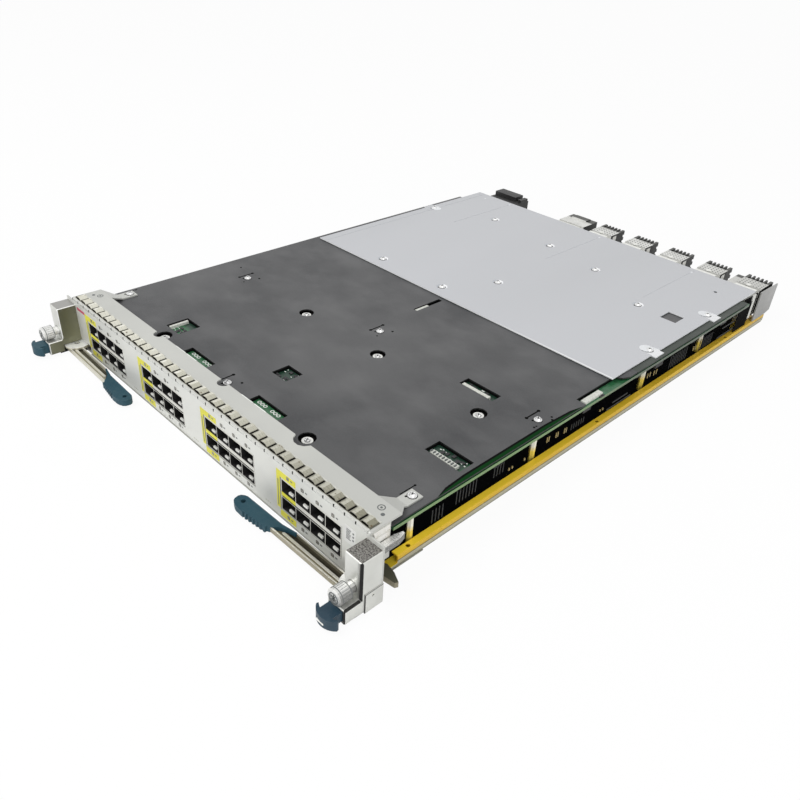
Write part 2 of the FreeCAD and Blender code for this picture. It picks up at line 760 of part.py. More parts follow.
def pivot_plate():
    low = housing_bottom - pivot_plate_thick
    slab = box(housing_in, half_card - 0.5, -foot_reach + 8.0, 0, low, housing_bottom)
    ear = box(pivot_x - 7.0, housing_in + 0.1, -12.0, 0, low, housing_bottom)
    plate = fuse([slab, ear])
    corner = edges_where(plate, lambda e: along(e, Z_AXIS) and e.CenterOfMass.x < pivot_x - 6.5
                         and e.CenterOfMass.y < -6)
    plate = plate.makeChamfer(3.6, corner)
    return plate.cut(flat_rod(pivot_x, pivot_y, low - 1, pin_radius + 0.1, 4))


def guard_plate():
    plate = box(half_card - 0.4, half_card + guard_thick, -12.5, 1.2, 0, 14.8)
    ear_clear = box(half_card - 1, half_card, -0.1, 2, 0, ear_top)
    dot = flat_rod(half_card - 1, -6.4, 10.8, 0.8, 3, X_AXIS, 8)
    return cut(plate, [ear_clear, dot])


def guide_pin():
    """A round shank in the housing and a blade with a pointed end and a groove on its outer side."""
    shank = flat_rod(housing_mid, -7.6, guide_height, guide_radius - 0.1, 7.6 + 3.0, Y_AXIS, 8)
    half, tip = guide_radius - 0.3, guide_reach - 5.5
    blade = prism([(housing_mid - half, 2.0, guide_height - half),
                   (housing_mid + half, 2.0, guide_height - half),
                   (housing_mid + half, tip, guide_height - half),
                   (housing_mid + 0.8, guide_reach, guide_height - half),
                   (housing_mid - 0.8, guide_reach, guide_height - half),
                   (housing_mid - half, tip, guide_height - half)],
                  (0, 0, 2 * half))
    groove = box(housing_mid + half - 0.8, housing_mid + half + 1, 3.4, guide_reach + 1, guide_height - 0.7,
                 guide_height + 0.7)
    return fuse([shank, blade]).cut(groove)


def pivot_pin():
    low = housing_bottom - pivot_plate_thick
    return rod(pivot_x, pivot_y, low, pin_radius, lever_top + running_gap - low)


# Lever, drawn with the pivot at the origin: -X runs in towards the middle of the panel

def lever_place(shape):
    shape.rotate(V(0, 0, 0), Z_AXIS, lever_rest)
    shape.translate(V(pivot_x, pivot_y, 0))
    return shape


arm_front, arm_rear = 8.5, 1.0
web_thick = 1.4
rim_thick = 1.0
grip_floor = 0.4


def lever_arm():
    end = -arm_length
    web = prism([(0, -arm_front, lever_low), (end + 14, -arm_front, lever_low),
                 (end, -arm_front + 2.0, lever_low),
                 (end, -arm_front + 5.0, lever_low), (end + 16, arm_rear - 2.0, lever_low),
                 (0, arm_rear, lever_low)],
                (0, 0, web_thick))
    rim_high = lever_thick - 0.5
    front_rim = box(end + 18, 0, -arm_front, -arm_front + rim_thick, lever_low, lever_low + rim_high)
    rear_rim = box(end + 34, 0, arm_rear - rim_thick, arm_rear, lever_low, lever_low + rim_high)
    bead_low = lever_low + web_thick
    bead = prism([(-62.0, -4.7, bead_low - 0.1), (-61.0, -5.7, bead_low - 0.1), (-6.0, -5.7, bead_low - 0.1),
                  (-6.0, -3.7, bead_low - 0.1), (-61.0, -3.7, bead_low - 0.1)], (0, 0, 1.3))
    hub = flat_rod(0, 0, lever_low, hub_radius, lever_thick, sides=20)
    relief = flat_rod(0, 0, lever_low - 0.01, hub_radius + 1, lever_thick - 1.4)
    relief = relief.cut(flat_rod(0, 0, lever_low - 1, hub_radius - 2.1, lever_thick + 2))
    hub = hub.cut(relief)
    claw = prism([(5.0, 4.0, lever_low), (4.8, 12.0, lever_low), (7.0, 15.4, lever_low),
                  (15.2, 16.4, lever_low),
                  (16.2, 18.6, lever_low), (9.0, 22.2, lever_low), (1.5, 23.8, lever_low),
                  (-3.0, 21.5, lever_low),
                  (-5.2, 15.0, lever_low), (-5.6, 4.0, lever_low)], (0, 0, lever_thick))
    arm = fuse([web, front_rim, rear_rim, bead, hub, claw])
    return arm.cut(rod(0, 0, lever_low - 1, pin_radius + pin_clearance, lever_thick + 2))


def lever_grip():
    low, high = lever_low - grip_floor, lever_top + 0.2
    tip = -grip_length
    plan = [(-54.0, 0.5), (-66.0, -1.6), (tip + 4.5, -2.0), (tip + 0.5, -5.0), (tip + 1.5, -10.5),
            (tip + 6.5, -13.0),
            (-91.0, -13.4), (-71.5, -11.2), (-71.5, -9.6), (-69.5, -8.6), (-65.0, -4.6), (-60.0, -2.0),
            (-54.0, -0.6)]
    grip = prism([(x, y, low) for x, y in plan], (0, 0, high - low))
    soft = edges_where(grip, lambda e: along(e, Z_AXIS) and e.CenterOfMass.x < -85)
    grip = grip.makeChamfer(1.2, soft)
    grooves = [flat_rod(-74.2 - 3.3 * k, -11.9 - 0.28 * k, low - 1, 1.0, high - low + 2, sides=6)
               for k in range(6)]
    hole = flat_rod(tip + 7.3, -6.9, low - 1, 1.7, high - low + 2, sides=10)
    return cut(grip, grooves + [hole]).cut(lever_arm())


# Release button: a thumb plate curved in plan, on a block that slides in the foot

button_low = housing_bottom + 1.2 + running_gap
button_top = foot_top - wall - running_gap


def release_button():
    half = 8.9
    front, ends = -button_reach, -button_reach + 4.3
    outer = Part.Arc(V(-half, ends, button_low), V(0, front, button_low), V(half, ends, button_low)).toShape()
    inner = Part.Arc(V(half - 0.4, ends + 1.4, button_low), V(0, front + 3.0, button_low),
                     V(-half + 0.4, ends + 1.4, button_low)).toShape()
    right_tip = Part.makeLine(V(half, ends, button_low), V(half - 0.4, ends + 1.4, button_low))
    left_tip = Part.makeLine(V(-half + 0.4, ends + 1.4, button_low), V(-half, ends, button_low))
    pad = Part.Face(Part.Wire([outer, right_tip, inner, left_tip])).extrude(V(0, 0, button_top - button_low))
    block = box(-button_width / 2, button_width / 2, front + 2.0, -foot_reach + 6.0, button_low, button_top)
    button = fuse([pad, block])
    button.translate(V(housing_mid, 0, 0))
    return button


coil_turns = 3
coil_sides = 6


def coil(radius, wire, length, turns, start):
    """A coil spring of flat-sided wire along Y."""
    sections = []
    for k in range(turns * coil_sides + 1):
        angle = 2 * math.pi * k / coil_sides
        y = wire + (length - 2 * wire) * k / (turns * coil_sides)
        ring = []
        for r, rise in ((radius - wire, -wire), (radius + wire, -wire), (radius + wire, wire),
                        (radius - wire, wire)):
            ring.append(start + V(r * math.cos(angle), y + rise, r * math.sin(angle)))
        sections.append(ring)
    faces = [face_of(sections[0]), face_of(sections[-1])]
    for near, far in zip(sections, sections[1:]):
        for k in range(4):
            a, b, c, d = near[k], near[(k + 1) % 4], far[(k + 1) % 4], far[k]
            faces += [face_of([a, b, c]), face_of([a, c, d])]
    return Part.Solid(Part.Shell(faces))


def button_spring():
    start, end = -foot_reach + 6.3, -housing_depth - 0.3
    return coil(1.3, 0.25, end - start, coil_turns, V(housing_mid, start, (bay_top + foot_top - wall) / 2))


def captive_screw():
    rear = -housing_depth - captive_gap
    front = rear - captive_head_length
    head = flat_rod(housing_mid, front + 0.8, captive_height, captive_head_radius,
                    captive_head_length - 0.8, Y_AXIS, 20)
    rim = flat_rod(housing_mid, front, captive_height, captive_head_radius - 0.8, 0.8, Y_AXIS, 20,
                   captive_head_radius)
    neck = flat_rod(housing_mid, rear - 0.5, captive_height, captive_neck_radius, captive_neck_length + 0.5,
                    Y_AXIS)
    shank = flat_rod(housing_mid, rear, captive_height, captive_waist, thread_start - rear + 0.1, Y_AXIS)
    thread = rod(housing_mid, thread_start, captive_height, captive_radius,
                 captive_tip - thread_start - 1.0, Y_AXIS)
    point = flat_rod(housing_mid, captive_tip - 1.1, captive_height, captive_radius - 0.3, 1.1, Y_AXIS, 8,
                     captive_radius - 0.9)
    cross = [box(-2.6, 2.6, front - 1, front + 2.0, -0.5, 0.5),
             box(-0.5, 0.5, front - 1, front + 2.0, -2.6, 2.6)]
    for bar in cross:
        bar.translate(V(housing_mid, 0, captive_height))
    return cut(fuse([head, rim, neck, shank, thread, point]), cross)


def screw_spring():
    start = -housing_depth - captive_gap + captive_neck_length + 0.3
    return coil(2.9, 0.3, -captive_wall_front - 0.2 - start, coil_turns,
                V(housing_mid, start, captive_height))


def screw_clip():
    ring = flat_rod(housing_mid, -captive_wall_rear + running_gap, captive_height, clip_radius, 0.7, Y_AXIS,
                    8)
    return ring.cut(flat_rod(housing_mid, -captive_wall_rear, captive_height, captive_waist + 0.1, 4, Y_AXIS))


export(faceplate(), "faceplate")
export(top_gasket(), "top_gasket")
export(side_gasket(), "right_gasket")
export(mirrored(side_gasket()), "left_gasket")
export(bottom_skin(), "bottom_skin")
export(base_tray(), "base_tray")
export(standoffs(), "standoffs")
export(main_board(), "main_board")
export(board_cover(), "board_cover")
export(rear_shield(), "rear_shield")
export(cover_screws(), "cover_screws")
for number, group in enumerate(group_centres, 1):
    export(port_cage(group), "port_cage_%d" % number)
export(port_sockets(), "port_sockets")
export(light_pipes(), "light_pipes")
export(port_labels(), "port_labels")
export(serial_label(), "serial_label")
export(panel_stripe(), "panel_stripe")
export(switch_chips(), "switch_chips")
for number, place in enumerate(chip_places, 1):
    export(heat_sink(*place), "heat_sink_%d" % number)
export(dc_converters(), "dc_converters")
export(memory_chips(), "memory_chips")
export(capacitors(), "capacitors")
export(board_headers(), "board_headers")
export(plain_connector(), "fabric_connector_1")
for number, right in enumerate(fabric_rights[:-1], 2):
    export(fabric_connector(right), "fabric_connector_%d" % number)
export(end_connector(), "fabric_connector_%d" % (fabric_count + 1))
export(power_connector(), "power_connector")
export(connector_side_plate(), "connector_side_plate")

for make, name in ((guard_plate, "guard_plates"), (pivot_plate, "pivot_plates"), (pivot_pin, "pivot_pins")):
    piece = make()
    export(Part.makeCompound([piece, mirrored(piece)]), name)
for make, name in ((housing, "housing"), (guide_pin, "guide_pin"), (release_button, "release_button"),
                   (button_spring, "button_spring"), (captive_screw, "captive_screw"),
                   (screw_spring, "screw_spring"), (screw_clip, "screw_clip")):
    piece = make()
    export(piece, "right_" + name)
    export(mirrored(piece), "left_" + name)
for make, name in ((lever_arm, "lever_arm"), (lever_grip, "lever_grip")):
    piece = lever_place(make())
    export(piece, "right_" + name)
    export(mirrored(piece), "left_" + name)
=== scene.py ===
# %% [markdown]
# # A switch line card
#
# The card lies flat on its sheet tray, ports towards the viewer. The measured solids come in as a
# fixed frame. This lesson gives each of them a finish, adds the small pieces that a sheet-metal
# drawing leaves out, and sets up the studio. All sizes in it are in millimetres, turned into
# metres by MM.

from collections import namedtuple
import json
import math
import random

import bmesh
import bpy
from mathutils import Matrix, Vector


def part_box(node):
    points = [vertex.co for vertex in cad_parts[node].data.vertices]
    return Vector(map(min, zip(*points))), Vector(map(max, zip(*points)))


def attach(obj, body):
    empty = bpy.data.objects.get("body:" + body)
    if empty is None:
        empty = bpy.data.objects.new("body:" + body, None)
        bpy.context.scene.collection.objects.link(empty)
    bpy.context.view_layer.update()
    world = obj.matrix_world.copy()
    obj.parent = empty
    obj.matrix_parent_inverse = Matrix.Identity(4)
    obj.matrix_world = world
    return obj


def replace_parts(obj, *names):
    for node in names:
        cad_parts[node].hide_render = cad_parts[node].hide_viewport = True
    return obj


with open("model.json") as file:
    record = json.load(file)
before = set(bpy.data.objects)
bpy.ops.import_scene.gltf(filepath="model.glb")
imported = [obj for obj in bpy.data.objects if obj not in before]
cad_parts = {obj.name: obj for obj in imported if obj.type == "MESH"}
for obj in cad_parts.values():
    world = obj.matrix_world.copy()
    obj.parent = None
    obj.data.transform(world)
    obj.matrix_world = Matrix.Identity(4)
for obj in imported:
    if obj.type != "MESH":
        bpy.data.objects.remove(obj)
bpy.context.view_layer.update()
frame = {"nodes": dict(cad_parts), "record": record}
nodes = frame["nodes"]
scene = bpy.context.scene
MM = 0.001

# %% [markdown]
# ## Finishes
#
# Plating, moulded plastic and lacquer all vary a little over a real card. An image could show
# that, but it would blur close up and stretch over the bevels. Shader nodes on Object coordinates
# keep the grain at its real size, so every finish here is built from them.


# %% Helpers for shader nodes
def mix_colour(nt, factor, a, b):
    node = nt.nodes.new("ShaderNodeMix")
    node.data_type = "RGBA"
    for socket, value in ((node.inputs[0], factor), (node.inputs[6], a), (node.inputs[7], b)):
        if isinstance(value, bpy.types.NodeSocket):
            nt.links.new(value, socket)
        else:
            socket.default_value = (*value, 1)
    return node.outputs[2]


def math_node(nt, operation, a, b, clamp=False):
    node = nt.nodes.new("ShaderNodeMath")
    node.operation, node.use_clamp = operation, clamp
    for socket, value in zip(node.inputs, (a, b)):
        if isinstance(value, bpy.types.NodeSocket):
            nt.links.new(value, socket)
        else:
            socket.default_value = value
    return node.outputs[0]


def ramp(nt, value, low, high):
    """0 to 1 as the value goes from low to high, held at the ends."""
    node = nt.nodes.new("ShaderNodeMapRange")
    node.inputs[1].default_value, node.inputs[2].default_value = low, high
    nt.links.new(value, node.inputs[0])
    return node.outputs[0]


def noise(nt, scale, stretch=(1, 1, 1), detail=3.0, low=0.35, high=0.65):
    """Clouds with so many features per metre, their range pulled out between low and high."""
    tex = nt.nodes.new("ShaderNodeTexCoord")
    mapping = nt.nodes.new("ShaderNodeMapping")
    mapping.inputs["Scale"].default_value = stretch
    nt.links.new(tex.outputs["Object"], mapping.inputs["Vector"])
    clouds = nt.nodes.new("ShaderNodeTexNoise")
    clouds.inputs["Scale"].default_value = scale
    clouds.inputs["Detail"].default_value = detail
    nt.links.new(mapping.outputs["Vector"], clouds.inputs["Vector"])
    return ramp(nt, clouds.outputs[0], low, high)


# %% [markdown]
# A real sheet looks different on its front, its top and its cut edges, and plating wears in places; much
# of the difference between faces is light and reflection, which the tints here paint into the colour.
# Separate materials for each face would need the solids cut up, which the frame doesn't allow. So a mask
# says where a tint shows: on faces that look one way, on a stretch of an axis, or in flecks. Several
# masks multiply, which leaves only the place where all of them are 1.


# %% Masks and the tint that uses them
def axis_value(nt, output, axis):
    tex = nt.nodes.new("ShaderNodeTexCoord")
    split = nt.nodes.new("ShaderNodeSeparateXYZ")
    nt.links.new(tex.outputs[output], split.inputs[0])
    return split.outputs["XYZ".index(axis)]


def toward(axis, low=0.7, high=0.95):
    """A mask for faces that look along the axis, or against it where low and high are negative."""
    return lambda nt: ramp(nt, axis_value(nt, "Normal", axis), low, high)


def along(axis, low, high):
    """A mask that goes from 0 at low to 1 at high on the axis."""
    return lambda nt: ramp(nt, axis_value(nt, "Object", axis), low * MM, high * MM)


def flecks(scale, detail, low, high, stretch=(1, 1, 1)):
    return lambda nt: noise(nt, scale, stretch, detail, low, high)


def bevel_between(axis_a, sign_a, axis_b, sign_b):
    """The two masks of the bevel between the faces that look along the two signed axes."""
    low, high = 0.45, 0.6
    return toward(axis_a, sign_a * low, sign_a * high), toward(axis_b, sign_b * low, sign_b * high)


def product(nt, masks):
    """The masks multiplied together. A plain number among them weakens the result."""
    values = [mask(nt) if callable(mask) else mask for mask in masks]
    result = values[0]
    for value in values[1:]:
        result = math_node(nt, "MULTIPLY", result, value)
    return result


def tint(look, colour, *masks):
    """Lays another colour over a finish where every mask is 1."""
    nt = look.node_tree
    base = nt.nodes["Principled BSDF"].inputs["Base Color"]
    below = base.links[0].from_socket
    nt.links.new(mix_colour(nt, product(nt, masks), below, colour), base)


# %% [markdown]
# One maker serves all finishes: a colour that drifts to a second one in patches, a roughness that
# varies in finer patches, a small relief, and edges that catch light. A bevel on the solids'
# meshes would round the edges too, but the frame is fixed, so the shader's Bevel node does it.

# %% The maker of finishes
looks = {}
second_shade = 0.86
finer_patches = 2.7
relief_depth = 0.2


def material(name, colour, rough=0.5, metal=0.0, other=None, patches=30.0, patch_stretch=(1, 1, 1),
             grain=0.0, grain_scale=3000.0, grain_stretch=(1, 1, 1), rough_spread=0.08,
             soft_edge=0.0, **more):
    mat = bpy.data.materials.new(name)
    mat.use_nodes = True
    nt = mat.node_tree
    bsdf = nt.nodes["Principled BSDF"]
    bsdf.inputs["Metallic"].default_value = metal
    for key, value in more.items():
        bsdf.inputs[key.replace("_", " ")].default_value = value
    other = other or tuple(c * second_shade for c in colour)
    drift = noise(nt, patches, patch_stretch)
    nt.links.new(mix_colour(nt, drift, colour, other), bsdf.inputs["Base Color"])
    rub = noise(nt, patches * finer_patches, patch_stretch, 5)
    spread = math_node(nt, "MULTIPLY", rub, rough_spread)
    nt.links.new(math_node(nt, "ADD", spread, rough - rough_spread / 2), bsdf.inputs["Roughness"])
    if grain:
        bump = nt.nodes.new("ShaderNodeBump")
        bump.inputs["Strength"].default_value = grain
        bump.inputs["Distance"].default_value = relief_depth * MM
        nt.links.new(noise(nt, grain_scale, grain_stretch, 2, 0.2, 0.8), bump.inputs["Height"])
        nt.links.new(bump.outputs[0], bsdf.inputs["Normal"])
        if soft_edge:
            bevel = nt.nodes.new("ShaderNodeBevel")
            bevel.samples = 4
            bevel.inputs["Radius"].default_value = soft_edge * MM
            nt.links.new(bevel.outputs[0], bump.inputs["Normal"])
    looks[name] = mat
    print("finish:", name)
    return mat


# %% [markdown]
# The faceplate is satin-plated sheet with faint clouds in the plating. Its front is painted brighter than
# its other faces, as painted light. The masks lay that front over one finish, so no edge of the sheet
# shows a seam.

# %% Faceplate plating
panel = material("panel_metal", (0.575, 0.58, 0.545), 0.42, 0.3, (0.525, 0.53, 0.50), 14,
                 grain=0.10, grain_scale=2500, soft_edge=0.35)
panel_front = toward("Y", -0.7, -0.9)
# Painted light: the front lighter than the top and edges. The flecks on the front are clouds in the
# plating.
tint(panel, (0.71, 0.715, 0.68), panel_front)
tint(panel, (0.64, 0.645, 0.61), panel_front, flecks(18, 4, 0.5, 0.75))

# %% [markdown]
# The ejector housings are machined blocks in the same plating. Their tops are grained and painted darker,
# for the dark room they mirror, and their front corner has a painted black line for the dark side of the
# room, with more dark painted reflection near their right edges. The left block shows its inner side,
# which mirrors the floor, so it has its own copy of the finish, with its own painted reflections and
# white painted highlights on its corners. The guard plates are another copy, with the dark joint lines of
# a plate that is screwed on.

# %% Housing and guard plating
housing = material("housing_steel", (0.72, 0.725, 0.69), 0.36, 0.7, (0.64, 0.645, 0.61), 40,
                   grain=0.12, grain_scale=2600, soft_edge=0.6)
housing_left = housing.copy()
housing_top = (toward("Z", 0.9, 0.97), along("Z", 38, 39))
front_corner = bevel_between("Y", -1, "X", 1)
top_corner = bevel_between("Z", 1, "X", 1)
# Painted reflection: darker tops. The dark flecks on them are grain.
tint(housing, (0.30, 0.29, 0.27), *housing_top)
tint(housing, (0.07, 0.066, 0.06), *housing_top, flecks(1100, 2, 0.42, 0.6))
# Painted reflections: a dark band at the right of the front, a black front corner and a dark right edge
# low down.
tint(housing, (0.12, 0.12, 0.115), toward("Y", -0.8, -0.95), along("X", 190.2, 193))
tint(housing, (0.012, 0.012, 0.012), *front_corner)
tint(housing, (0.02, 0.02, 0.018), *top_corner, along("Z", 30, 20))
# The left block's own painted reflections: its top, a dark inner side with a lighter patch, and white
# painted highlights on its corners.
tint(housing_left, (0.36, 0.355, 0.34), *housing_top)
tint(housing_left, (0.17, 0.17, 0.115), toward("X"))
tint(housing_left, (0.27, 0.27, 0.18), toward("X"), along("Y", -16, -4), along("Z", 36, 14))
tint(housing_left, (0.85, 0.85, 0.83), *front_corner)
tint(housing_left, (0.90, 0.90, 0.88), *top_corner)
guard = housing.copy()
for joint_line in (along("Z", 14.1, 14.3), along("Y", -11.9, -12.1)):
    tint(guard, (0.05, 0.05, 0.05), toward("X"), joint_line)
looks["housing_left"], looks["guard_steel"] = housing_left, guard

# %% [markdown]
# The spring strips are bright, slightly yellow beryllium copper. Each finger is an arch with painted
# shade: pale on its crown and dark on the side that looks away, more so towards the right, where the
# whole strip is painted darker, and dark on the flat strip between the arches. Brown flecks are where the
# plating has rubbed through.

# %% Gasket strips
gasket = material("gasket_metal", (0.84, 0.83, 0.74), 0.3, 0.3, (0.62, 0.60, 0.48), 160,
                  (0.5, 1.6, 1), rough_spread=0.2, grain=0.1, grain_scale=1500)
arch_side = toward("X", 0.15, 0.3)
# Painted shade on the arches' sides, less at the left end; the whole strip darker towards the right, and
# the flat strip between the arches dark.
tint(gasket, (0.50, 0.49, 0.40), arch_side)
tint(gasket, (0.68, 0.67, 0.58), arch_side, along("X", 0, -60))
tint(gasket, (0.50, 0.49, 0.41), along("X", -20, 90))
tint(gasket, (0.24, 0.23, 0.17), arch_side, along("X", 60, 180))
tint(gasket, (0.10, 0.095, 0.07), along("Y", 1.6, 1.7), along("Z", 46.1, 45.9))
tint(gasket, (0.60, 0.60, 0.55), along("Y", 9.2, 9.4))
tint(gasket, (0.64, 0.645, 0.61), along("Y", 1.5, 1.4))
tint(gasket, (0.10, 0.06, 0.02), flecks(320, 3, 0.66, 0.72), along("Z", 45.9, 46))
material("side_gasket", (0.80, 0.79, 0.75), 0.3, 0.6, (0.70, 0.68, 0.62), 160,
         grain=0.1, grain_scale=1500)

# %% [markdown]
# The tray has yellow passivated plating, which drifts from gold to olive, with bare metal on the cut edge
# of its floor. Its rails catch a reflector that isn't in the scene, so their tops are painted brighter
# towards the front. A lamp placed for them would brighten the covers too, so the rail tops also have a
# faint painted glow that fades along the card.

# %% Tray plating
tray = material("tray_plating", (0.80, 0.52, 0.035), 0.38, 0.2, (0.66, 0.40, 0.02), 30,
                (1, 0.3, 2), grain=0.05, grain_scale=1800, rough_spread=0.15, soft_edge=0.4)
tint(tray, (0.42, 0.30, 0.05), flecks(60, 4, 0.62, 0.8, (1, 0.25, 1)))
# Painted highlight: the rail tops brighter towards the front.
tint(tray, (0.98, 0.72, 0.05), toward("Z"), along("Y", 380, 20))
tint(tray, (0.50, 0.48, 0.36), toward("X"), along("Z", 4.5, 4.2))
tint(tray, (0.16, 0.13, 0.05), toward("X"), along("Z", 4.6, 4.4), along("Z", 3.6, 3.8))
# Painted light: the rail tops glow, though they are no lamp.
glow_strength = 0.24
tray_tree = tray.node_tree
tray_shader = tray_tree.nodes["Principled BSDF"]
glow = product(tray_tree, (toward("Z"), along("Z", 5.8, 6.0), along("Y", 500, 20), glow_strength))
tray_tree.links.new(glow, tray_shader.inputs["Emission Strength"])
tray_shader.inputs["Emission Color"].default_value = (1.0, 0.66, 0.03, 1)

# %% [markdown]
# The skin under the tray is plain rolled steel, so its grain is stretched along the sheet. The
# posts are pale nickel that mirrors the tray's gold at its foot. A mirror-like metal would show
# that by itself, but also the black film, so the gold is a tint that fades upwards.

# %% Skin, posts and screws
material("skin_steel", (0.40, 0.40, 0.37), 0.42, 0.8, grain=0.06, grain_scale=1200,
         grain_stretch=(8, 0.4, 1))
posts = material("standoff_metal", (0.98, 0.97, 0.90), 0.35, 0.0, (0.90, 0.88, 0.76), 300,
                 grain=0.05, grain_scale=3000)
tint(posts, (0.95, 0.72, 0.12), along("Z", 17, 12))
material("screw_zinc", (0.90, 0.90, 0.89), 0.25, 0.5, (0.7, 0.7, 0.7), 500, grain=0.06)

# %% [markdown]
# Each lever arm is folded steel: a sunk web between two lips. Light and shade are painted on it: shade on
# the web, darkest where the web meets the lip behind it, highlights on the lips and the highest tops, and
# shade along the rear edge. The left arm is painted paler, for the bright faceplate that it reflects. One
# function makes both, because only their colours differ.


# %% Lever arms
def arm_look(name, colour, other, metal, web_shade):
    look = material(name, colour, 0.32, metal, other, 60, (0.4, 3, 3), grain=0.08,
                    grain_scale=2000, soft_edge=0.3)
    arm_top = toward("Z")
    arm_web = (arm_top, along("Z", 3.9, 3.7))
    # Painted shade on the sunk web, darkest at the lip behind it.
    tint(look, web_shade, *arm_web)
    tint(look, tuple(c * 0.15 for c in web_shade), *arm_web, along("Y", -10.2, -9.4))
    # Painted highlights on the lips and the highest tops.
    tint(look, (0.78, 0.76, 0.68), arm_top, along("Z", 4.7, 4.8))
    tint(look, (0.95, 0.95, 0.93), arm_top, along("Z", 6.2, 6.3))
    # Painted shade along the rear edge.
    tint(look, (0.20, 0.19, 0.14), arm_top, along("Y", 0.5, 1.5))


arm_look("lever_steel", (0.40, 0.37, 0.28), (0.28, 0.25, 0.17), 0.6, (0.25, 0.22, 0.14))
# The left arm: paler colours, a painted reflection of the bright faceplate.
arm_look("lever_left", (0.72, 0.70, 0.60), (0.50, 0.47, 0.37), 0.2, (0.42, 0.38, 0.24))
print(len(looks), "finishes so far")

# %% [markdown]
# The pins and the captive screws are nickel, which mirrors the room: dark towards the right and below,
# white above. Those reflections are painted by direction. The screw head's face has a dark ring inside
# its bright rim. Real reflections of a dark room would need one built round the card, and painted tints
# by direction are enough.

# %% Nickel and springs
pins = material("pin_nickel", (0.62, 0.62, 0.60), 0.28, 0.6, (0.5, 0.5, 0.48), 200, grain=0.04)
# Painted reflections: darker on faces towards the right, lighter on faces that look up.
tint(pins, (0.24, 0.24, 0.23), toward("X", 0.2, 0.9))
tint(pins, (0.85, 0.85, 0.83), toward("Z", 0.5, 0.95))
captive = material("captive_silver", (0.80, 0.80, 0.78), 0.3, 0.5, (0.7, 0.7, 0.68), 200, grain=0.04)
# Painted reflections: dark on the right side and on the lower part of the head.
tint(captive, (0.22, 0.22, 0.21), toward("X", 0.3, 0.9), along("X", 180, 181))
tint(captive, (0.20, 0.20, 0.19), toward("Y", 0.3, -0.1), along("Z", 19, 13.5))
# Painted shade: faces that look forward but stand back of the head's front are near black.
tint(captive, (0.012, 0.012, 0.012), toward("Y", -0.8, -0.95), along("Y", -27.6, -27.2))
material("spring_steel", (0.6, 0.6, 0.6), 0.3, 0.9, grain=0.04)
material("capacitor_silver", (0.7, 0.7, 0.7), 0.3, 0.9, grain=0.04)

# %% [markdown]
# The port cages are dark inside and show bare metal only at their front edges. Real cages are
# shiny and look dark because little light gets in. Copying that would take many bounces of light,
# so the metal itself is nearly black, with little specular light.

# %% Cages and side plate
cage = material("cage_metal", (0.030, 0.029, 0.030), 0.45, 0.1, (0.016, 0.016, 0.016), 90,
                grain=0.06, grain_scale=2000, Specular_IOR_Level=0.2)
tint(cage, (0.66, 0.655, 0.61), toward("Y", -0.8, -0.95), along("Y", 0.8, 0.5))
material("side_plate_grey", (0.42, 0.42, 0.41), 0.4, 0.6, grain=0.06)

# %% [markdown]
# The board cover is satin black with a bloom of handling marks: broad clouds, a finer cloud over them and
# a speckle of dust. Its walls are painted black as shade, so that its windows look deep, and its right
# edge behind the side window is painted darker as shade.

# %% Board cover
cover = material("cover_black", (0.028, 0.029, 0.032), 0.5, 0.0, (0.076, 0.077, 0.079), 10,
                 (1, 0.8, 1), grain=0.3, grain_scale=900, rough_spread=0.12)
bloom_share = 0.35
tint(cover, (0.15, 0.15, 0.152), flecks(26, 6, 0.45, 0.75, (1, 1.5, 1)), bloom_share)
tint(cover, (0.11, 0.11, 0.112), flecks(1500, 2, 0.4, 0.7), bloom_share)
# Painted shade: the cover's right edge behind the side window.
tint(cover, (0.035, 0.045, 0.036), along("X", 175.2, 175.6), along("Y", 282, 284))


def upright(nt):
    """A mask for walls: 1 minus that of the faces that look up."""
    return math_node(nt, "SUBTRACT", 1.0, toward("Z", 0.75, 0.97)(nt), True)


# Painted shade: the walls nearly black.
tint(cover, (0.004, 0.004, 0.004), upright)

# %% [markdown]
# The rear shield is a smooth light grey sheet with long, faint rolling marks. The slopes of its dimples
# have painted light, white on one side and grey on the other, and there are painted highlights on the
# right part of its front edge and on its right tabs.

# %% Rear shield
shield = material("shield_grey", (0.565, 0.575, 0.60), 0.40, 0.2, (0.53, 0.54, 0.56), 4,
                  (1, 0.3, 1), grain=0.04, grain_scale=700, grain_stretch=(0.3, 6, 1))
dimple_slope = toward("Z", 0.985, 0.93)
# Painted highlight and shade on the dimples' slopes, painted highlights on the front edge and on the
# right tabs.
tint(shield, (0.95, 0.96, 0.97), dimple_slope)
tint(shield, (0.50, 0.53, 0.56), toward("X", 0.1, 0.3), dimple_slope)
tint(shield, (0.85, 0.86, 0.87), along("Y", 257.3, 257.0), toward("Z"), along("X", 40, 120))
tint(shield, (0.80, 0.81, 0.82), along("X", 163, 164), along("Z", 39.95, 39.85))

# %% [markdown]
# The circuit board is green lacquer over copper, mottled by the tracks under it, which the second colour
# in small patches stands in for. Its cut edge is bare fibre, pale at the front and with painted shade
# under the shield. Under the cover, and on its top beside the cover's right edge, the board is painted
# darker as shade. Tints by place give all of these, where a second solid would only hide the edge.

# %% Circuit board
board = material("board_green", (0.03, 0.15, 0.06), 0.35, 0.0, (0.018, 0.09, 0.035), 350,
                 (1, 2, 1), grain=0.2, grain_scale=1200)
board_edge = toward("X", 0.8, 0.95)
# Painted shade: the board under the cover, seen through the windows.
tint(board, (0.008, 0.035, 0.02), along("Y", 52, 56), along("X", 172, 170))
# Painted shade: the board's top beside the cover's right edge.
tint(board, (0.012, 0.10, 0.03), toward("Z"), along("X", 173, 175), along("Y", 212, 208))
tint(board, (0.17, 0.28, 0.11), board_edge)
# Painted shade: the edge darker towards the rear, under the shield.
tint(board, (0.09, 0.115, 0.08), board_edge, along("Y", 190, 300))

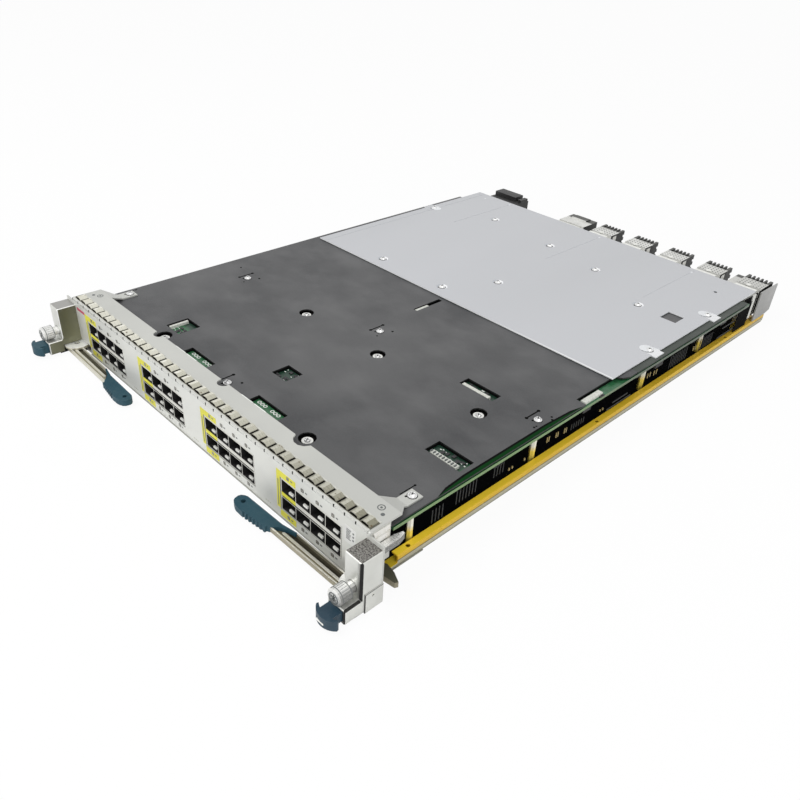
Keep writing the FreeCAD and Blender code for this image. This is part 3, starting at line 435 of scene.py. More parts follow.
# %% [markdown]
# Chips, heat sinks and moulded blocks are nearly black plastics and lacquers, which differ mostly
# in roughness. The data connectors are pale blocks whose rear ends and right sides are black
# mouldings. A tint along Y and one by direction part the two plastics without a cut.

# %% Blocks and chips
material("connector_black", (0.022, 0.022, 0.022), 0.5, grain=0.1)
material("chip_black", (0.03, 0.03, 0.032), 0.6, grain=0.2)
material("sink_black", (0.022, 0.022, 0.025), 0.45, 0.4, grain=0.1)
material("converter_dark", (0.03, 0.03, 0.035), 0.5, grain=0.1)
material("pivot_black", (0.02, 0.02, 0.02), 0.4, grain=0.1)
fabric = material("fabric_grey", (0.80, 0.80, 0.77), 0.5, 0.0, (0.66, 0.66, 0.63), 90, grain=0.15)
tint(fabric, (0.60, 0.60, 0.57), along("X", 60, 170))
tint(fabric, (0.07, 0.07, 0.064), along("Y", 539.5, 540.5))
tint(fabric, (0.010, 0.010, 0.009), toward("X"))
material("header_white", (0.72, 0.73, 0.68), 0.5, 0.0, (0.55, 0.56, 0.5), 700, grain=0.1)

# %% [markdown]
# The light pipes are clear plastic over dark holes. Real transparency would be slow for so small
# a thing, so they have a grey base under a clear coat. The fields on the faceplate are plain
# inks, and the grips and buttons are moulded in two dark blues with a leathery grain.

# %% Inks and mouldings
material("light_pipe", (0.24, 0.23, 0.20), 0.25, 0.0, (0.12, 0.12, 0.10), 900, grain=0.05,
         Coat_Weight=0.6)
material("label_yellow", (0.74, 0.70, 0.06), 0.5, 0.0, (0.66, 0.62, 0.05), 60, grain=0.08)
material("label_white", (0.78, 0.78, 0.76), 0.5, 0.0, grain=0.08)
material("label_red", (0.55, 0.09, 0.15), 0.5, 0.0, grain=0.08)
material("handle_teal", (0.020, 0.066, 0.094), 0.5, 0.0, (0.028, 0.078, 0.104), 110,
         grain=0.35, grain_scale=2200, rough_spread=0.15, Specular_IOR_Level=0.25)
material("button_navy", (0.018, 0.044, 0.068), 0.4, 0.0, (0.024, 0.054, 0.08), 110,
         grain=0.2, grain_scale=2200, Specular_IOR_Level=0.3)

# %% [markdown]
# Each solid names the finish it takes. A few nodes share a finish on the drawing but look different from
# this side, so they have their own; those of the left housing, the left lever arm and the captive screws
# differ by painted reflections and shade.

# %% Put the finishes on the solids
own_looks = {"left_housing": "housing_left", "left_lever_arm": "lever_left",
             "guard_plates": "guard_steel", "right_release_button": "button_navy",
             "left_captive_screw": "captive_silver", "right_captive_screw": "captive_silver"}
for entry in frame["record"]["subparts"]:
    for slot in nodes[entry["node"]].material_slots:
        slot.material = looks[own_looks.get(entry["node"], entry["material_slot"])]

# %% [markdown]
# ## Small pieces
#
# Each small piece is a few simple shapes collected in one bmesh, bevelled if light should catch
# its edges, and set to ride on the card or on a body that moves. Bmesh operators make the shapes,
# since an operator's box or ring is closed and its faces are in order.


# %% Finish a piece and measure the solids
def piece(name, bm, mat, body="card", bevel=0.0, closed=True):
    crease = 0.6
    if closed:
        bmesh.ops.recalc_face_normals(bm, faces=bm.faces)
    if bevel:
        sharp = [e for e in bm.edges if len(e.link_faces) == 2 and e.calc_face_angle(0) > crease]
        bmesh.ops.bevel(bm, geom=sharp, offset=bevel * MM, segments=2, profile=0.6, affect="EDGES")
    mesh = bpy.data.meshes.new(name)
    bm.to_mesh(mesh)
    bm.free()
    obj = bpy.data.objects.new(name, mesh)
    scene.collection.objects.link(obj)
    mesh.materials.append(mat)
    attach(obj, body)
    print(name, "has", len(mesh.polygons), "faces and rides on", body)
    return obj


Corner = namedtuple("Corner", "x y z")


def span(node):
    """The low and high corners of a node's box, in millimetres."""
    return [Corner(*(value / MM for value in corner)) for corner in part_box(node)]


# %% Boxes, bars, rods and rings
def add_box(bm, x0, x1, y0, y1, z0, z1):
    size = Matrix.Diagonal(((x1 - x0) * MM, (y1 - y0) * MM, (z1 - z0) * MM, 1))
    middle = Vector((x0 + x1, y0 + y1, z0 + z1)) * 0.5 * MM
    bmesh.ops.create_cube(bm, size=1.0, matrix=Matrix.Translation(middle) @ size)


def add_bar(bm, spot, axis, angle, size):
    """A box of the given size about a spot, turned about an axis."""
    turn = Matrix.Translation(Vector(spot) * MM) @ Matrix.Rotation(angle, 4, axis)
    bmesh.ops.create_cube(bm, size=1.0, matrix=turn @ Matrix.Diagonal((*(side * MM for side in size), 1)))


def add_rod(bm, x, y, z, radius, length, segments=20, tip=None, forward=False):
    """A rod that rises from its spot, or with forward set, goes back along Y from it."""
    turn = Matrix.Rotation(-math.pi / 2, 4, "X") if forward else Matrix.Identity(4)
    middle = Matrix.Translation((0, 0, length * MM / 2))
    place = Matrix.Translation(Vector((x, y, z)) * MM) @ turn @ middle
    bmesh.ops.create_cone(bm, cap_ends=True, segments=segments, radius1=radius * MM,
                          radius2=(radius if tip is None else tip) * MM, depth=length * MM,
                          matrix=place)


def add_ring(bm, x, y, z, outer, inner, height, segments=28, standing=False):
    """A flat washer that lies on its spot, or stands with its height towards the viewer's side."""
    turn = Matrix.Rotation(math.pi / 2, 4, "X") if standing else Matrix.Identity(4)
    place = Matrix.Translation(Vector((x, y, z)) * MM) @ turn
    section = [bm.verts.new(place @ (Vector((radius, 0, level)) * MM))
               for radius, level in ((outer, 0), (outer, height), (inner, height), (inner, 0))]
    sides = [bm.edges.new((a, b)) for a, b in zip(section, section[1:] + section[:1])]
    bmesh.ops.spin(bm, geom=section + sides, cent=place.translation, axis=place.col[2].xyz,
                   angle=2 * math.pi, steps=segments, use_merge=True)


# %% [markdown]
# Some nodes hold many separate solids, such as all the cover's screws. Their places could be
# typed again here, but would then stay behind when the part changes. Walking over a merged copy
# of the node's mesh, from vertex to neighbouring vertex, finds each solid's own box instead.


# %% Find the solids of a node
def separate_solids(node):
    """The low and high corners, in millimetres, of each separate solid of a node."""
    bm = bmesh.new()
    bm.from_mesh(nodes[node].data)
    bmesh.ops.remove_doubles(bm, verts=bm.verts, dist=1e-6)
    left, found = set(bm.verts), []
    while left:
        heap, inside = [left.pop()], []
        while heap:
            vert = heap.pop()
            inside.append(vert.co / MM)
            near = {edge.other_vert(vert) for edge in vert.link_edges} & left
            left -= near
            heap.extend(near)
        found.append((Vector(map(min, zip(*inside))), Vector(map(max, zip(*inside)))))
    bm.free()
    return sorted(found, key=lambda pair: (round(pair[0].x), round(pair[0].y)))


cover_screws = separate_solids("cover_screws")
print(len(cover_screws), "screws on the covers")

# %% [markdown]
# ### On the faceplate
#
# Four groups of eight ports stand in two rows. The columns' places follow from the cages and from
# the ports' standard pitch.

# %% Ports and lights
port_pitch = 14.25
port_floors = (8.0, 22.2)
light_rows = (4.6, 36.4)
groups = []
for number in range(1, 5):
    low, high = span("port_cage_%d" % number)
    groups.append((low.x + high.x) / 2)
columns = [middle + (k - 1.5) * port_pitch for middle in groups for k in range(4)]
print(len(columns) * len(port_floors), "ports, the first column at", round(columns[0], 3))

# %% [markdown]
# A bright spring tab holds the plug in each port. Only its lit end shows, so a small bevelled
# block just inside the mouth stands in for it.

# %% Latch tabs
# White for the latch tabs, washers and posts, also used for painted highlights on the connectors and the
# right button.
white_and_highlight = material("white_and_highlight", (0.92, 0.92, 0.88), 0.3, 0.0, (0.80, 0.80, 0.75), 300)
bm = bmesh.new()
for x in columns:
    for floor in port_floors:
        add_box(bm, x - 1.6, x + 2.8, 1.6, 3.0, floor + 0.1, floor + 1.7)
piece("latch_tabs", bm, white_and_highlight, bevel=0.15)

# %% [markdown]
# A light pipe looks like a pale dot in a black ring, because its hole is wider than its end and the gap
# lies in shade. Two thin discs on the faceplate, the paler one in front, show that at any distance; the
# black one is painted shade.

# %% Light pipes' rims and ends
# Near black for painted shade: gaps, recesses, wells and shadows.
shade_black = material("painted_shade_black", (0.004, 0.004, 0.004), 0.8, Specular_IOR_Level=0.04)
rims, ends = bmesh.new(), bmesh.new()
for x in columns:
    for z in light_rows:
        add_rod(rims, x, -0.06, z, 1.5, 0.12, segments=16, forward=True)
        add_rod(ends, x, -0.12, z, 0.75, 0.12, segments=12, forward=True)
piece("light_rims", rims, shade_black)
piece("light_ends", ends, looks["light_pipe"])

# %% [markdown]
# Small grey bars keep the place of what is printed beside each light. The first column of a group
# lies on the yellow field, so there the bar stands a little further out.

# %% Bars beside the lights
# Grey for printed marks and contacts, also used as painted shade in grooves, gaps and outlines.
grey_marks_and_shade = material("grey_marks_and_shade", (0.13, 0.14, 0.14), 0.6, grain=0.05)
bm = bmesh.new()
for k, x in enumerate(columns):
    front = -0.14 if k % 4 == 0 else -0.04
    for z in light_rows:
        add_box(bm, x + 2.7, x + 4.6, front, 0.05, z - 0.5, z + 0.5)
piece("port_marks", bm, grey_marks_and_shade)

# %% [markdown]
# A fine olive line edges each yellow field, and three short dashes stand between the groups. The
# last group has none, since the serial label is in their place.

# %% Lines on the fields
line_left, dash_left, dash_pitch = 31.9, 40.5, 2.4
bm = bmesh.new()
for middle in groups:
    line = middle - line_left
    add_box(bm, line, line + 1.0, -0.2, -0.1, 9.5, 31.0)
    if middle < groups[-1]:
        for k in range(3):
            dash = middle + dash_left + k * dash_pitch
            add_box(bm, dash, dash + 1.1, -0.04, 0.05, 4.0, 4.5)
piece("strip_marks", bm, material("olive_grey", (0.28, 0.29, 0.16), 0.6))

# %% [markdown]
# The white label holds plain bars: seven lines of three lengths, and three squares beside them.
# They are raised by a tenth of a millimetre, as print alone would need an image.

# %% Bars on the serial label
label_low, label_high = span("serial_label")
left, top = label_low.x, label_high.z
bm = bmesh.new()
for k in range(7):
    line = top - 1.8 - k * 1.2
    add_box(bm, left + 1.6, left + 5.6 - (k % 3) * 0.5, -0.16, -0.1, line - 0.6, line)
for k in range(3):
    square = top - 2.2 - k * 2.6
    add_box(bm, left + 7.0, left + 8.2, -0.16, -0.1, square - 1.2, square)
piece("serial_bars", bm, grey_marks_and_shade)

# %% [markdown]
# ### On the gasket
#
# The strip is one sheet, slit into fingers and bent up in arches, so dark slits part the fingers
# on the leg and the top, each arch is open at its front, and a shadow line runs under the leg.
# Black boxes in those places are painted shade; they read as slits from every side, and need no cut in
# the solid.

# %% Slits between the gasket's fingers
finger_count, arch_height = 38, 1.9
strip_low, strip_high = span("top_gasket")
start, fold = strip_low.x, strip_high.z - arch_height
finger_pitch = (strip_high.x - strip_low.x) / finger_count
bm = bmesh.new()
for k in range(finger_count):
    x = start + finger_pitch * k
    add_box(bm, x - 0.5, x + 0.5, strip_low.y - 0.04, 0.0, strip_low.z, fold + 0.03)
    add_box(bm, x - 0.55, x + 0.55, 2.4, 8.8, fold, fold + 0.08)
    add_box(bm, x + 2.0, x + 7.4, 2.1, 2.35, fold, fold + 1.1)
add_box(bm, start, -start, -0.05, 0.0, strip_low.z - 0.45, strip_low.z)
piece("gasket_gaps", bm, shade_black)

# %% [markdown]
# ### On the captive screws
#
# A captive screw's head is turned on a lathe: a groove inside the rim, a cross slot, two seams round its
# neck and fine flutes between them. Grey bars and rings set a hair into the surface show them as painted
# shade in those hollows, and ride on the screw so that they turn with it.

# %% Marks on the captive screws' heads
cross_angle, flutes, neck_radius = 0.6, 20, 5.66
for name in ("left", "right"):
    low, high = span(name + "_captive_screw")
    x, y, z = (low.x + high.x) / 2, low.y, (low.z + high.z) / 2
    bm = bmesh.new()
    add_ring(bm, x, y + 0.04, z, 3.9, 3.0, 0.08, standing=True)
    for angle in (cross_angle, cross_angle + math.pi / 2):
        add_bar(bm, (x, y - 0.02, z), "Y", angle, (5.4, 0.1, 0.9))
    for seam in (2.6, 9.0):
        add_ring(bm, x, y + seam, z, 5.78, 5.6, 0.5, standing=True)
    for k in range(flutes):
        angle = 2 * math.pi * k / flutes
        spot = (x + neck_radius * math.cos(angle), y + 5.5, z + neck_radius * math.sin(angle))
        add_bar(bm, spot, "Y", -angle, (0.1, 5.0, 0.22))
    piece(name + "_head_marks", bm, grey_marks_and_shade, body=name + "_screw")

# %% [markdown]
# ### On the covers
#
# Every screw has a washer face, a tapered head and a cross recess, whose black is painted shade. Those in
# the ringed holes sit on the board, each in a bright washer over a black well of painted shade. The rest
# have a thin painted shadow on their sheet, and beside each one on the cover is a slot with a round hole
# at either end, drawn in black as painted shade in the openings. The node's plain solids can't take that
# much detail, so these heads replace it.

# %% Screws on the covers
cover_top = span("board_cover")[1].z
board_low, board_top = (corner.z for corner in span("main_board"))
shield_top = span("rear_shield")[1].z
face_height, level_slack, ear_x = 0.5, 0.3, 173
slot_holes = ((-6.6, 9.6, 1.3), (-6.6, -4.4, 1.3), (6.5, 8.0, 1.0), (4.0, -7.0, 0.7))
heads, wells, crosses, washers, shades = (bmesh.new() for _ in range(5))
for low, high in cover_screws:
    x, y = (low.x + high.x) / 2, (low.y + high.y) / 2
    add_rod(heads, x, y, low.z, 3.0, face_height)
    add_rod(heads, x, y, low.z + face_height, 2.4, high.z - low.z - face_height, segments=16, tip=1.7)
    # Painted shade: the cross recesses in black.
    for angle in (0.5, 0.5 + math.pi / 2):
        add_bar(crosses, (x, y, high.z), "Z", angle, (2.9, 0.55, 0.04))
    if low.z < board_top + level_slack:
        # Painted shade: a black well under each washer.
        add_ring(wells, x, y, board_top, 9.5, 3.0, 0.05)
        add_ring(washers, x, y, board_top + 0.05, 3.9, 3.0, 0.8)
    else:
        # Painted shadow: a ring round the screw and a dark spot beside it.
        add_ring(shades, x, y, low.z, 3.45, 3.02, 0.04)
        add_rod(shades, x - 2.0, y - 3.4, low.z, 0.8, 0.05)
    if abs(low.z - cover_top) < level_slack and abs(x) < ear_x:
        # Painted shade: the slot and its holes in black.
        add_box(shades, x - 7.2, x - 6.0, y - 4.2, y + 9.2, cover_top, cover_top + 0.04)
        for dx, dy, radius in slot_holes:
            add_rod(shades, x + dx, y + dy, cover_top, radius, 0.06)
for x, y in ((174.9, 179.3), (174.7, 159.4), (-163.5, 151.6)):
    add_rod(shades, x, y, cover_top, 0.9, 0.05)
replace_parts(piece("cover_screw_heads", heads, looks["screw_zinc"]), "cover_screws")
piece("screw_crosses", crosses, shade_black)
piece("screw_wells", wells, shade_black)
piece("screw_shades", shades, shade_black)
piece("screw_washers", washers, white_and_highlight, bevel=0.1)

# %% [markdown]
# ### Between tray and board
#
# Black boxes lie as painted shade on the tray's floor and the inner walls of its rails, which are dark
# under the board. The shade could be a tint of the tray, but its edge is sharp and it hides the tray's
# holes, so three thin boxes lie on the metal.

# %% Painted shade in the tray
tray_low, tray_high = span("base_tray")
tray_floor = tray_low.z + 1.2
rail_wall = tray_high.x - 1.3
# Near black as painted shade on the tray's floor and rail walls.
floor_shade = material("floor_shade", (0.005, 0.005, 0.006), 0.7, Specular_IOR_Level=0.08)
bm = bmesh.new()
add_box(bm, -173.5, 173.5, 16.0, 522.0, tray_floor, tray_floor + 0.3)
add_box(bm, -rail_wall, 0.3 - rail_wall, 30.0, 530.0, tray_floor, 6.2)
add_box(bm, rail_wall - 0.3, rail_wall, 30.0, 530.0, tray_floor, 6.2)
piece("tray_floor_shade", bm, floor_shade)

# %% [markdown]
# From the side, the gap under the board shows the ends of chips and coils, a few gold pins, and the ribs
# of heat sinks and sockets, all dark against the black painted shade on the tray. What each one is can't
# be seen, so they are plain boxes, hung under the board at the places where something shows.

# %% Parts seen from the side
side_chips = ((122, 9, 9), (205, 7, 6), (226, 10, 10), (246, 5, 5), (262, 11, 7), (299, 8, 8),
              (332, 12, 11), (358, 8, 6), (391, 10, 8), (448, 12, 9), (470, 8, 7))
chips = bmesh.new()
for y, length, drop in side_chips:
    add_box(chips, 164, 176, y - length / 2, y + length / 2, board_low - drop, board_low)

long_pins = ((176.0, 17.5), (178.2, 17.5), (187.0, 16.5), (189.2, 16.5), (197.5, 15.5), (199.7, 15.5),
             (313.0, 17.5), (317.0, 17.5), (324.0, 16.0), (328.0, 16.0), (392.0, 15.0), (396.0, 15.0))
gold = bmesh.new()
for y, z in long_pins:
    add_box(gold, 176.6, 177.2, y - 0.35, y + 0.35, z + 1.5, z + 6.0)
for y in (134.2, 137.6, 151.2, 245.0, 248.6):
    add_box(gold, 176.4, 177.2, y - 0.5, y + 0.5, 15.5, 17.5)

rib_pitch, rib_width = 3.1, 0.7
rib_rows = ((58, 72, 13, 24), (80, 103, 16, 27), (117, 132, 18, 27), (206, 226, 16, 21),
            (350, 384, 14, 26), (404, 430, 13, 24))
ribs = bmesh.new()
for start, end, low, high in rib_rows:
    for k in range(int((end - start) / rib_pitch)):
        rib = start + k * rib_pitch
        add_box(ribs, 176.7, 177.1, rib, rib + rib_width, low, high)
for start, end, z in ((255, 290, 12.0), (262, 284, 16.0), (440, 476, 12.0), (446, 470, 20.0)):
    add_box(ribs, 176.7, 177.1, start, end, z, z + 1.2)
piece("side_chips", chips, looks["chip_black"], bevel=0.15)

# %% [markdown]
# The rear right corner is open: dark hollows with two pale posts between them, in front of the
# side plate. Black sheets make the hollows, since the solids behind them would catch the light.

# %% Rear corner
corner_low, corner_top = 12.0, 36.5
shadow = bmesh.new()
for start, end in ((488.0, 503.0), (510.5, 515.5), (517.0, 521.5), (523.0, 548.0)):
    add_box(shadow, 175.0, 175.6, start, end, corner_low, corner_top)
add_box(shadow, 177.4, 177.8, 474.0, 500.0, 7.6, 33.0)
piece("corner_shadow", shadow, shade_black)
piece("side_pins", gold, material("pin_gold", (0.42, 0.33, 0.14), 0.4, 0.2))
piece("side_ribs", ribs, material("rib_dark", (0.018, 0.019, 0.02), 0.6))
bm = bmesh.new()
add_box(bm, 175.0, 176.4, 503.5, 510.0, corner_low, corner_top)
add_box(bm, 175.0, 175.8, 515.8, 516.8, corner_low, corner_top)
piece("corner_post", bm, white_and_highlight)

# %% [markdown]
# ### In the windows
#
# Through the cover's windows the green board shows. Each front notch has two rows of three white printed
# rings, and white strips lie on the flange's edge above them. They go into one mesh with the pads of the
# other windows, in the same white.

# %% Printed rings in the notches
silkscreen = material("silkscreen", (0.86, 0.88, 0.84), 0.5, grain=0.05)
pads = bmesh.new()
for x in (-53.5, -38.5, 32.0, 47.0):
    for shift in (-3.4, 0.0, 3.4):
        add_ring(pads, x + shift, 36.2, board_top, 1.6, 0.9, 0.06, segments=14)
    add_box(pads, x - 7.0, x + 6.0, 24.0, 24.75, 45.38, 45.44)

# %% [markdown]
# The cover stands off the board on feet, so each window shows a dark gap under its far walls. The
# shade there is too weak under soft light, and black skirts along the rear and left side of each
# window make it full.

# %% Skirts of the windows
skirt_thickness = 0.3
skirt_top = cover_top - 1.25
openings = ((-105.5, -86.5, 41.0, 60.5), (5.0, 22.0, 64.0, 79.5), (143.4, 173.7, 84.0, 98.0),
            (103.3, 135.0, 162.0, 172.0), (173.0, 181.2, 212.0, 283.6), (-3.0, 1.2, 220.0, 252.0),
            (-61.5, -30.1, 24.8, 38.4), (24.5, 57.5, 24.8, 38.9))
skirts = bmesh.new()
for x0, x1, y0, y1 in openings:
    inner = y1 - skirt_thickness
    add_box(skirts, x0, x1, inner, y1, board_top, skirt_top)
    add_box(skirts, x0, x0 + skirt_thickness, y0, inner, board_top, skirt_top)
piece("window_skirts", skirts, shade_black)

# %% [markdown]
# The window at the cover's right edge ends in a rounded tongue of the cover. Its outline is one
# face, drawn at the cover's underside and extruded up to a hair below the top.

# %% Tongue beside the side window
tongue_outline = ((173.0, 283.6), (173.0, 263.0), (175.5, 263.4), (178.6, 266.0), (181.2, 272.0),
                  (181.2, 283.6))
bm = bmesh.new()
under = bm.faces.new([bm.verts.new(Vector((x, y, cover_top - 1.2)) * MM) for x, y in tongue_outline])
grown = bmesh.ops.extrude_face_region(bm, geom=[under])["geom"]
bmesh.ops.translate(bm, verts=[part for part in grown if isinstance(part, bmesh.types.BMVert)],
                    vec=(0, 0, 1.19 * MM))
piece("cover_side_tip", bm, looks["cover_black"])

# %% [markdown]
# Along the right edge the real cover stands back, and a strip of board shows beside it, dark in the
# cover's shade, with a black line of shade between them. Two flat faces on the cover, the green one
# narrower and higher, show both as painted shade. They have no thickness that could shade anything, and
# their outline runs anticlockwise, which turns them upwards.

# %% Strip of board beside the cover
board_strip, strip_edge = bmesh.new(), bmesh.new()
outer = 181.5
for target, inner, lift in ((strip_edge, 177.2, 0.04), (board_strip, 178.8, 0.08)):
    outline = ((outer, 208.0), (inner + 1.6, 196.0), (inner, 168.0), (inner, 84.0),
               (inner + 1.2, 66.0), (outer, 56.0))
    target.faces.new([target.verts.new(Vector((x, y, cover_top + lift)) * MM) for x, y in outline])
# Dark green: painted shade on the board beside the cover.
shaded_board_green = material("shaded_board_green", (0.004, 0.04, 0.008), 0.7, Specular_IOR_Level=0.04)
piece("strip_edge", strip_edge, shade_black, closed=False)
piece("board_strip", board_strip, shaded_board_green, closed=False)

# %% [markdown]
# The big header in the right window is a white comb: grey ticks, painted shade in its gaps, part its
# teeth. In the other windows lie small chips and solder pads, scattered by seeded random numbers, about
# one to every 9 square millimetres, as on a real board.

# %% Ticks, chips and pads
ticks = bmesh.new()
for k in range(9):
    tick = 146.5 + k * 2.6
    add_box(ticks, tick, tick + 0.8, 85.6, 88.0, board_top + 0.3, board_top + 3.0)
piece("header_ticks", ticks, grey_marks_and_shade)

area_each, chip_share = 9, 0.4
random.seed(7)
chips = bmesh.new()
for x0, x1, y0, y1 in ((-103.0, -89.0, 43.5, 52.0), (6.5, 20.5, 66.0, 78.0), (146.0, 171.0, 91.0, 96.5),
                       (105.5, 131.0, 167.4, 170.8), (174.5, 180.0, 215.0, 237.0)):
    for _ in range(int((x1 - x0) * (y1 - y0) / area_each)):
        x, y = random.uniform(x0, x1), random.uniform(y0, y1)
        if random.random() < chip_share:
            half_width, half_depth = random.uniform(0.9, 2.2), random.uniform(0.8, 1.6)
            chip_top = board_top + random.uniform(0.4, 0.9)
            add_box(chips, x - half_width, x + half_width, y - half_depth, y + half_depth,
                    board_top, chip_top)
        else:
            half_width = random.uniform(0.3, 0.7)
            add_box(pads, x - half_width, x + half_width, y - 0.35, y + 0.35,
                    board_top, board_top + 0.25)
piece("board_marks", pads, silkscreen)
piece("board_chips", chips, looks["chip_black"], bevel=0.08)

# %% [markdown]
# ### On the data connectors
#
# Each block's top has a painted highlight along its front edge, and those with combs also have a round
# key mark, a field of small contacts and a painted strip of light on the right side. The first block is
# plain, and its top is a step lower.

# %% Tops of the data connectors
plain_step, comb_width, row_pitch = 1.2, 25.0, (3.4, 4.2)
light, rows = bmesh.new(), bmesh.new()
for number in range(1, 7):
    low, high = span("fabric_connector_%d" % number)
    plain = number == 1
    x0, x1 = low.x if plain else high.x - comb_width, high.x
    top = high.z - plain_step if plain else high.z
    # Painted highlight along the front edge.
    add_box(light, x0 + 1.0, x1 - 2.0, 514.5, 518.5, top, top + 0.12)
    if plain:
        continue
    add_rod(light, (x0 + x1) / 2 - 1.0, 524.0, top, 2.6, 0.4)
    for i in range(7):
        for j in range(4):
            left, front = x0 + 1.8 + i * row_pitch[0], 524.0 + j * row_pitch[1]
            add_box(rows, left, left + 1.1, front, front + 1.0, top, top + 0.2)
    # Painted strip of light on the right side.
    add_box(light, x1, x1 + 0.1, 527.0, 534.0, 15.0, top - 2.0)
piece("connector_edges", light, white_and_highlight)
piece("connector_rows", rows, grey_marks_and_shade)

# %% [markdown]
# ### Small sheet-metal marks
#
# The flange has a rivet and a pressed dimple beside each tongue. A rivet is a ring with a dot in it,
# hardly proud of the sheet. Their grey is painted shade round the rivet's head, in its middle and in the
# dimple.

# %% Rivets on the flange
flange_top = span("faceplate")[1].z
bm = bmesh.new()
for side in (-1, 1):
    add_ring(bm, side * 171.7, 19.0, flange_top - 0.02, 2.5, 1.9, 0.1)
    add_rod(bm, side * 171.7, 19.0, flange_top - 0.02, 0.8, 0.1)
    add_rod(bm, side * 176.5, 15.5, flange_top - 0.02, 1.3, 0.06)
piece("flange_rivets", bm, grey_marks_and_shade)

# %% [markdown]
# The shield's screw tabs have rounded, brightly lit inner ends, and four pips locate the sheet. A thin
# white disc under each tab's screw rounds its end as a painted highlight, and a short cone is a pip.

# %% Tab ends and pips on the shield
tab_white = material("tab_white", (0.82, 0.84, 0.86), 0.4, 0.1)
tab_x, tab_front = 165, 255
bm = bmesh.new()
for low, high in cover_screws:
    x, y = (low.x + high.x) / 2, (low.y + high.y) / 2
    if abs(x) > tab_x and low.y > tab_front:
        # Painted highlight: a white disc at each tab's inner end.
        add_rod(bm, math.copysign(166.5, x), y, shield_top - 0.03, 5.6, 0.06)
for x, y in ((-156.0, 495.0), (-124.0, 502.0), (2.0, 501.0), (113.0, 498.0)):
    add_rod(bm, x, y, shield_top - 0.05, 1.3, 0.25, tip=0.9)
piece("shield_pips", bm, tab_white)

# %% [markdown]
# The right button's front edge is polished by thumbs and shows one long highlight. The lamps are
# too soft to give it, so a small bright bar does.

# %% Highlight on the right button
bm = bmesh.new()
add_box(bm, 183.0, 189.0, -38.05, -37.0, 5.0, 6.6)
piece("button_glint", bm, white_and_highlight, body="right_button", bevel=0.3)

# %% [markdown]
# ## Studio
#
# The picture has a white ground with hardly a shadow. A white floor under soft lamps would turn
# grey, so the camera sees mostly plain white paper, mixed with a little of the lit floor, which
# keeps a faint shadow under the card. The card itself is lit by the real floor.

# %% Floor
bm = bmesh.new()
bmesh.ops.create_grid(bm, x_segments=1, y_segments=1, size=6.0)
mesh = bpy.data.meshes.new("floor")
bm.to_mesh(mesh)
bm.free()
floor = bpy.data.objects.new("floor", mesh)
scene.collection.objects.link(floor)
floor.location = (0, 0.25, -0.2 * MM)

paper_share = 0.93
mat = bpy.data.materials.new("floor_white")
mat.use_nodes = True
nt = mat.node_tree
bsdf = nt.nodes["Principled BSDF"]
bsdf.inputs["Base Color"].default_value = (0.94, 0.94, 0.94, 1)
bsdf.inputs["Roughness"].default_value = 0.9
paper = nt.nodes.new("ShaderNodeEmission")
paper.inputs["Strength"].default_value = 1.0
eye = nt.nodes.new("ShaderNodeLightPath")
blend = nt.nodes.new("ShaderNodeMixShader")
seen = math_node(nt, "MULTIPLY", eye.outputs["Is Camera Ray"], paper_share)
nt.links.new(seen, blend.inputs[0])
nt.links.new(bsdf.outputs[0], blend.inputs[1])
nt.links.new(paper.outputs[0], blend.inputs[2])
nt.links.new(blend.outputs[0], nt.nodes["Material Output"].inputs["Surface"])
mesh.materials.append(mat)

# %% [markdown]
# The world is pure white where the camera sees it, directly, in a reflection or through something,
# and dimmer as a lamp, so that the card keeps its contrast.

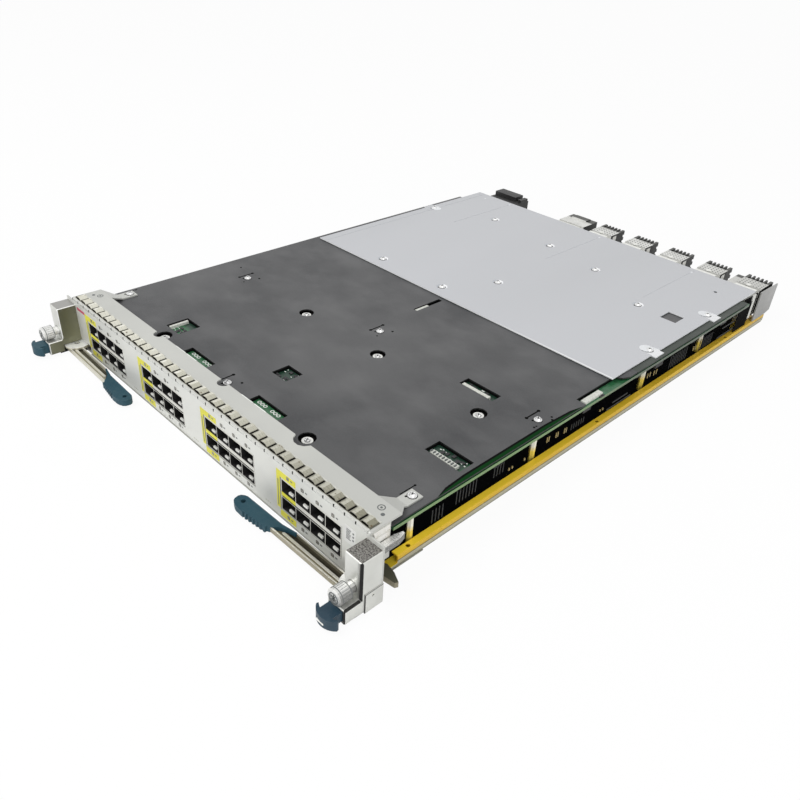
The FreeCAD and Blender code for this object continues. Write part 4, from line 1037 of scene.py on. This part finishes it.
# %% World
world_strength = 0.62
world = bpy.data.worlds.new("studio")
scene.world = world
world.use_nodes = True
nt = world.node_tree
eye = nt.nodes.new("ShaderNodeLightPath")
lamp = nt.nodes["Background"]
lamp.inputs["Color"].default_value = (1, 1, 1, 1)
lamp.inputs["Strength"].default_value = world_strength
white = nt.nodes.new("ShaderNodeBackground")
white.inputs["Color"].default_value = (1, 1, 1, 1)
seen = math_node(nt, "ADD", eye.outputs["Is Camera Ray"], eye.outputs["Is Glossy Ray"], True)
seen = math_node(nt, "ADD", seen, eye.outputs["Is Transmission Ray"], True)
blend = nt.nodes.new("ShaderNodeMixShader")
nt.links.new(seen, blend.inputs[0])
nt.links.new(lamp.outputs[0], blend.inputs[1])
nt.links.new(white.outputs[0], blend.inputs[2])
nt.links.new(blend.outputs[0], nt.nodes["World Output"].inputs["Surface"])

# %% [markdown]
# Two large round lamps, more than a metre across, give soft light: one from the left over the
# ports, one from the right that lifts the side of the tray. A sun or a point would draw hard
# shadows, which the picture doesn't have.


# %% Lamps
def area_light(name, place, target, size, watts):
    data = bpy.data.lights.new(name, "AREA")
    data.shape, data.size, data.energy = "DISK", size, watts
    obj = bpy.data.objects.new(name, data)
    scene.collection.objects.link(obj)
    obj.location = place
    obj.rotation_euler = (Vector(target) - Vector(place)).to_track_quat("-Z", "Y").to_euler()


area_light("key", (-0.5, -0.9, 1.5), (0, 0.2, 0), 1.2, 13)
area_light("fill", (1.4, -0.4, 0.9), (0, 0.2, 0), 1.2, 8)

# %% [markdown]
# The camera stands to the right of the ports, slightly rolled, at the distance that the picture's
# converging edges give. Its three axes are worked out from the angles, because a roll about the
# line of sight is simplest that way.

# %% Camera
azimuth, elevation, roll = math.radians(43.71), math.radians(33.533), math.radians(3.922)
camera_place = (0.4003, -0.21102, 0.33434)
back = Vector((math.sin(azimuth) * math.cos(elevation), -math.cos(azimuth) * math.cos(elevation),
               math.sin(elevation)))
level = Vector((math.cos(azimuth), math.sin(azimuth), 0))
above = back.cross(level)
right = level * math.cos(roll) + above * math.sin(roll)
up = above * math.cos(roll) - level * math.sin(roll)
camera_data = bpy.data.cameras.new("camera")
camera_data.sensor_width = 36
camera_data.lens = 33.97
camera_data.clip_start, camera_data.clip_end = 0.01, 20
camera = bpy.data.objects.new("camera", camera_data)
scene.collection.objects.link(camera)
axes = Matrix((right, up, back)).transposed().to_4x4()
camera.matrix_world = Matrix.Translation(camera_place) @ axes
scene.camera = camera
scene.view_settings.view_transform = "Standard"
print("camera at", camera_place, "with a lens of", round(camera_data.lens, 2))
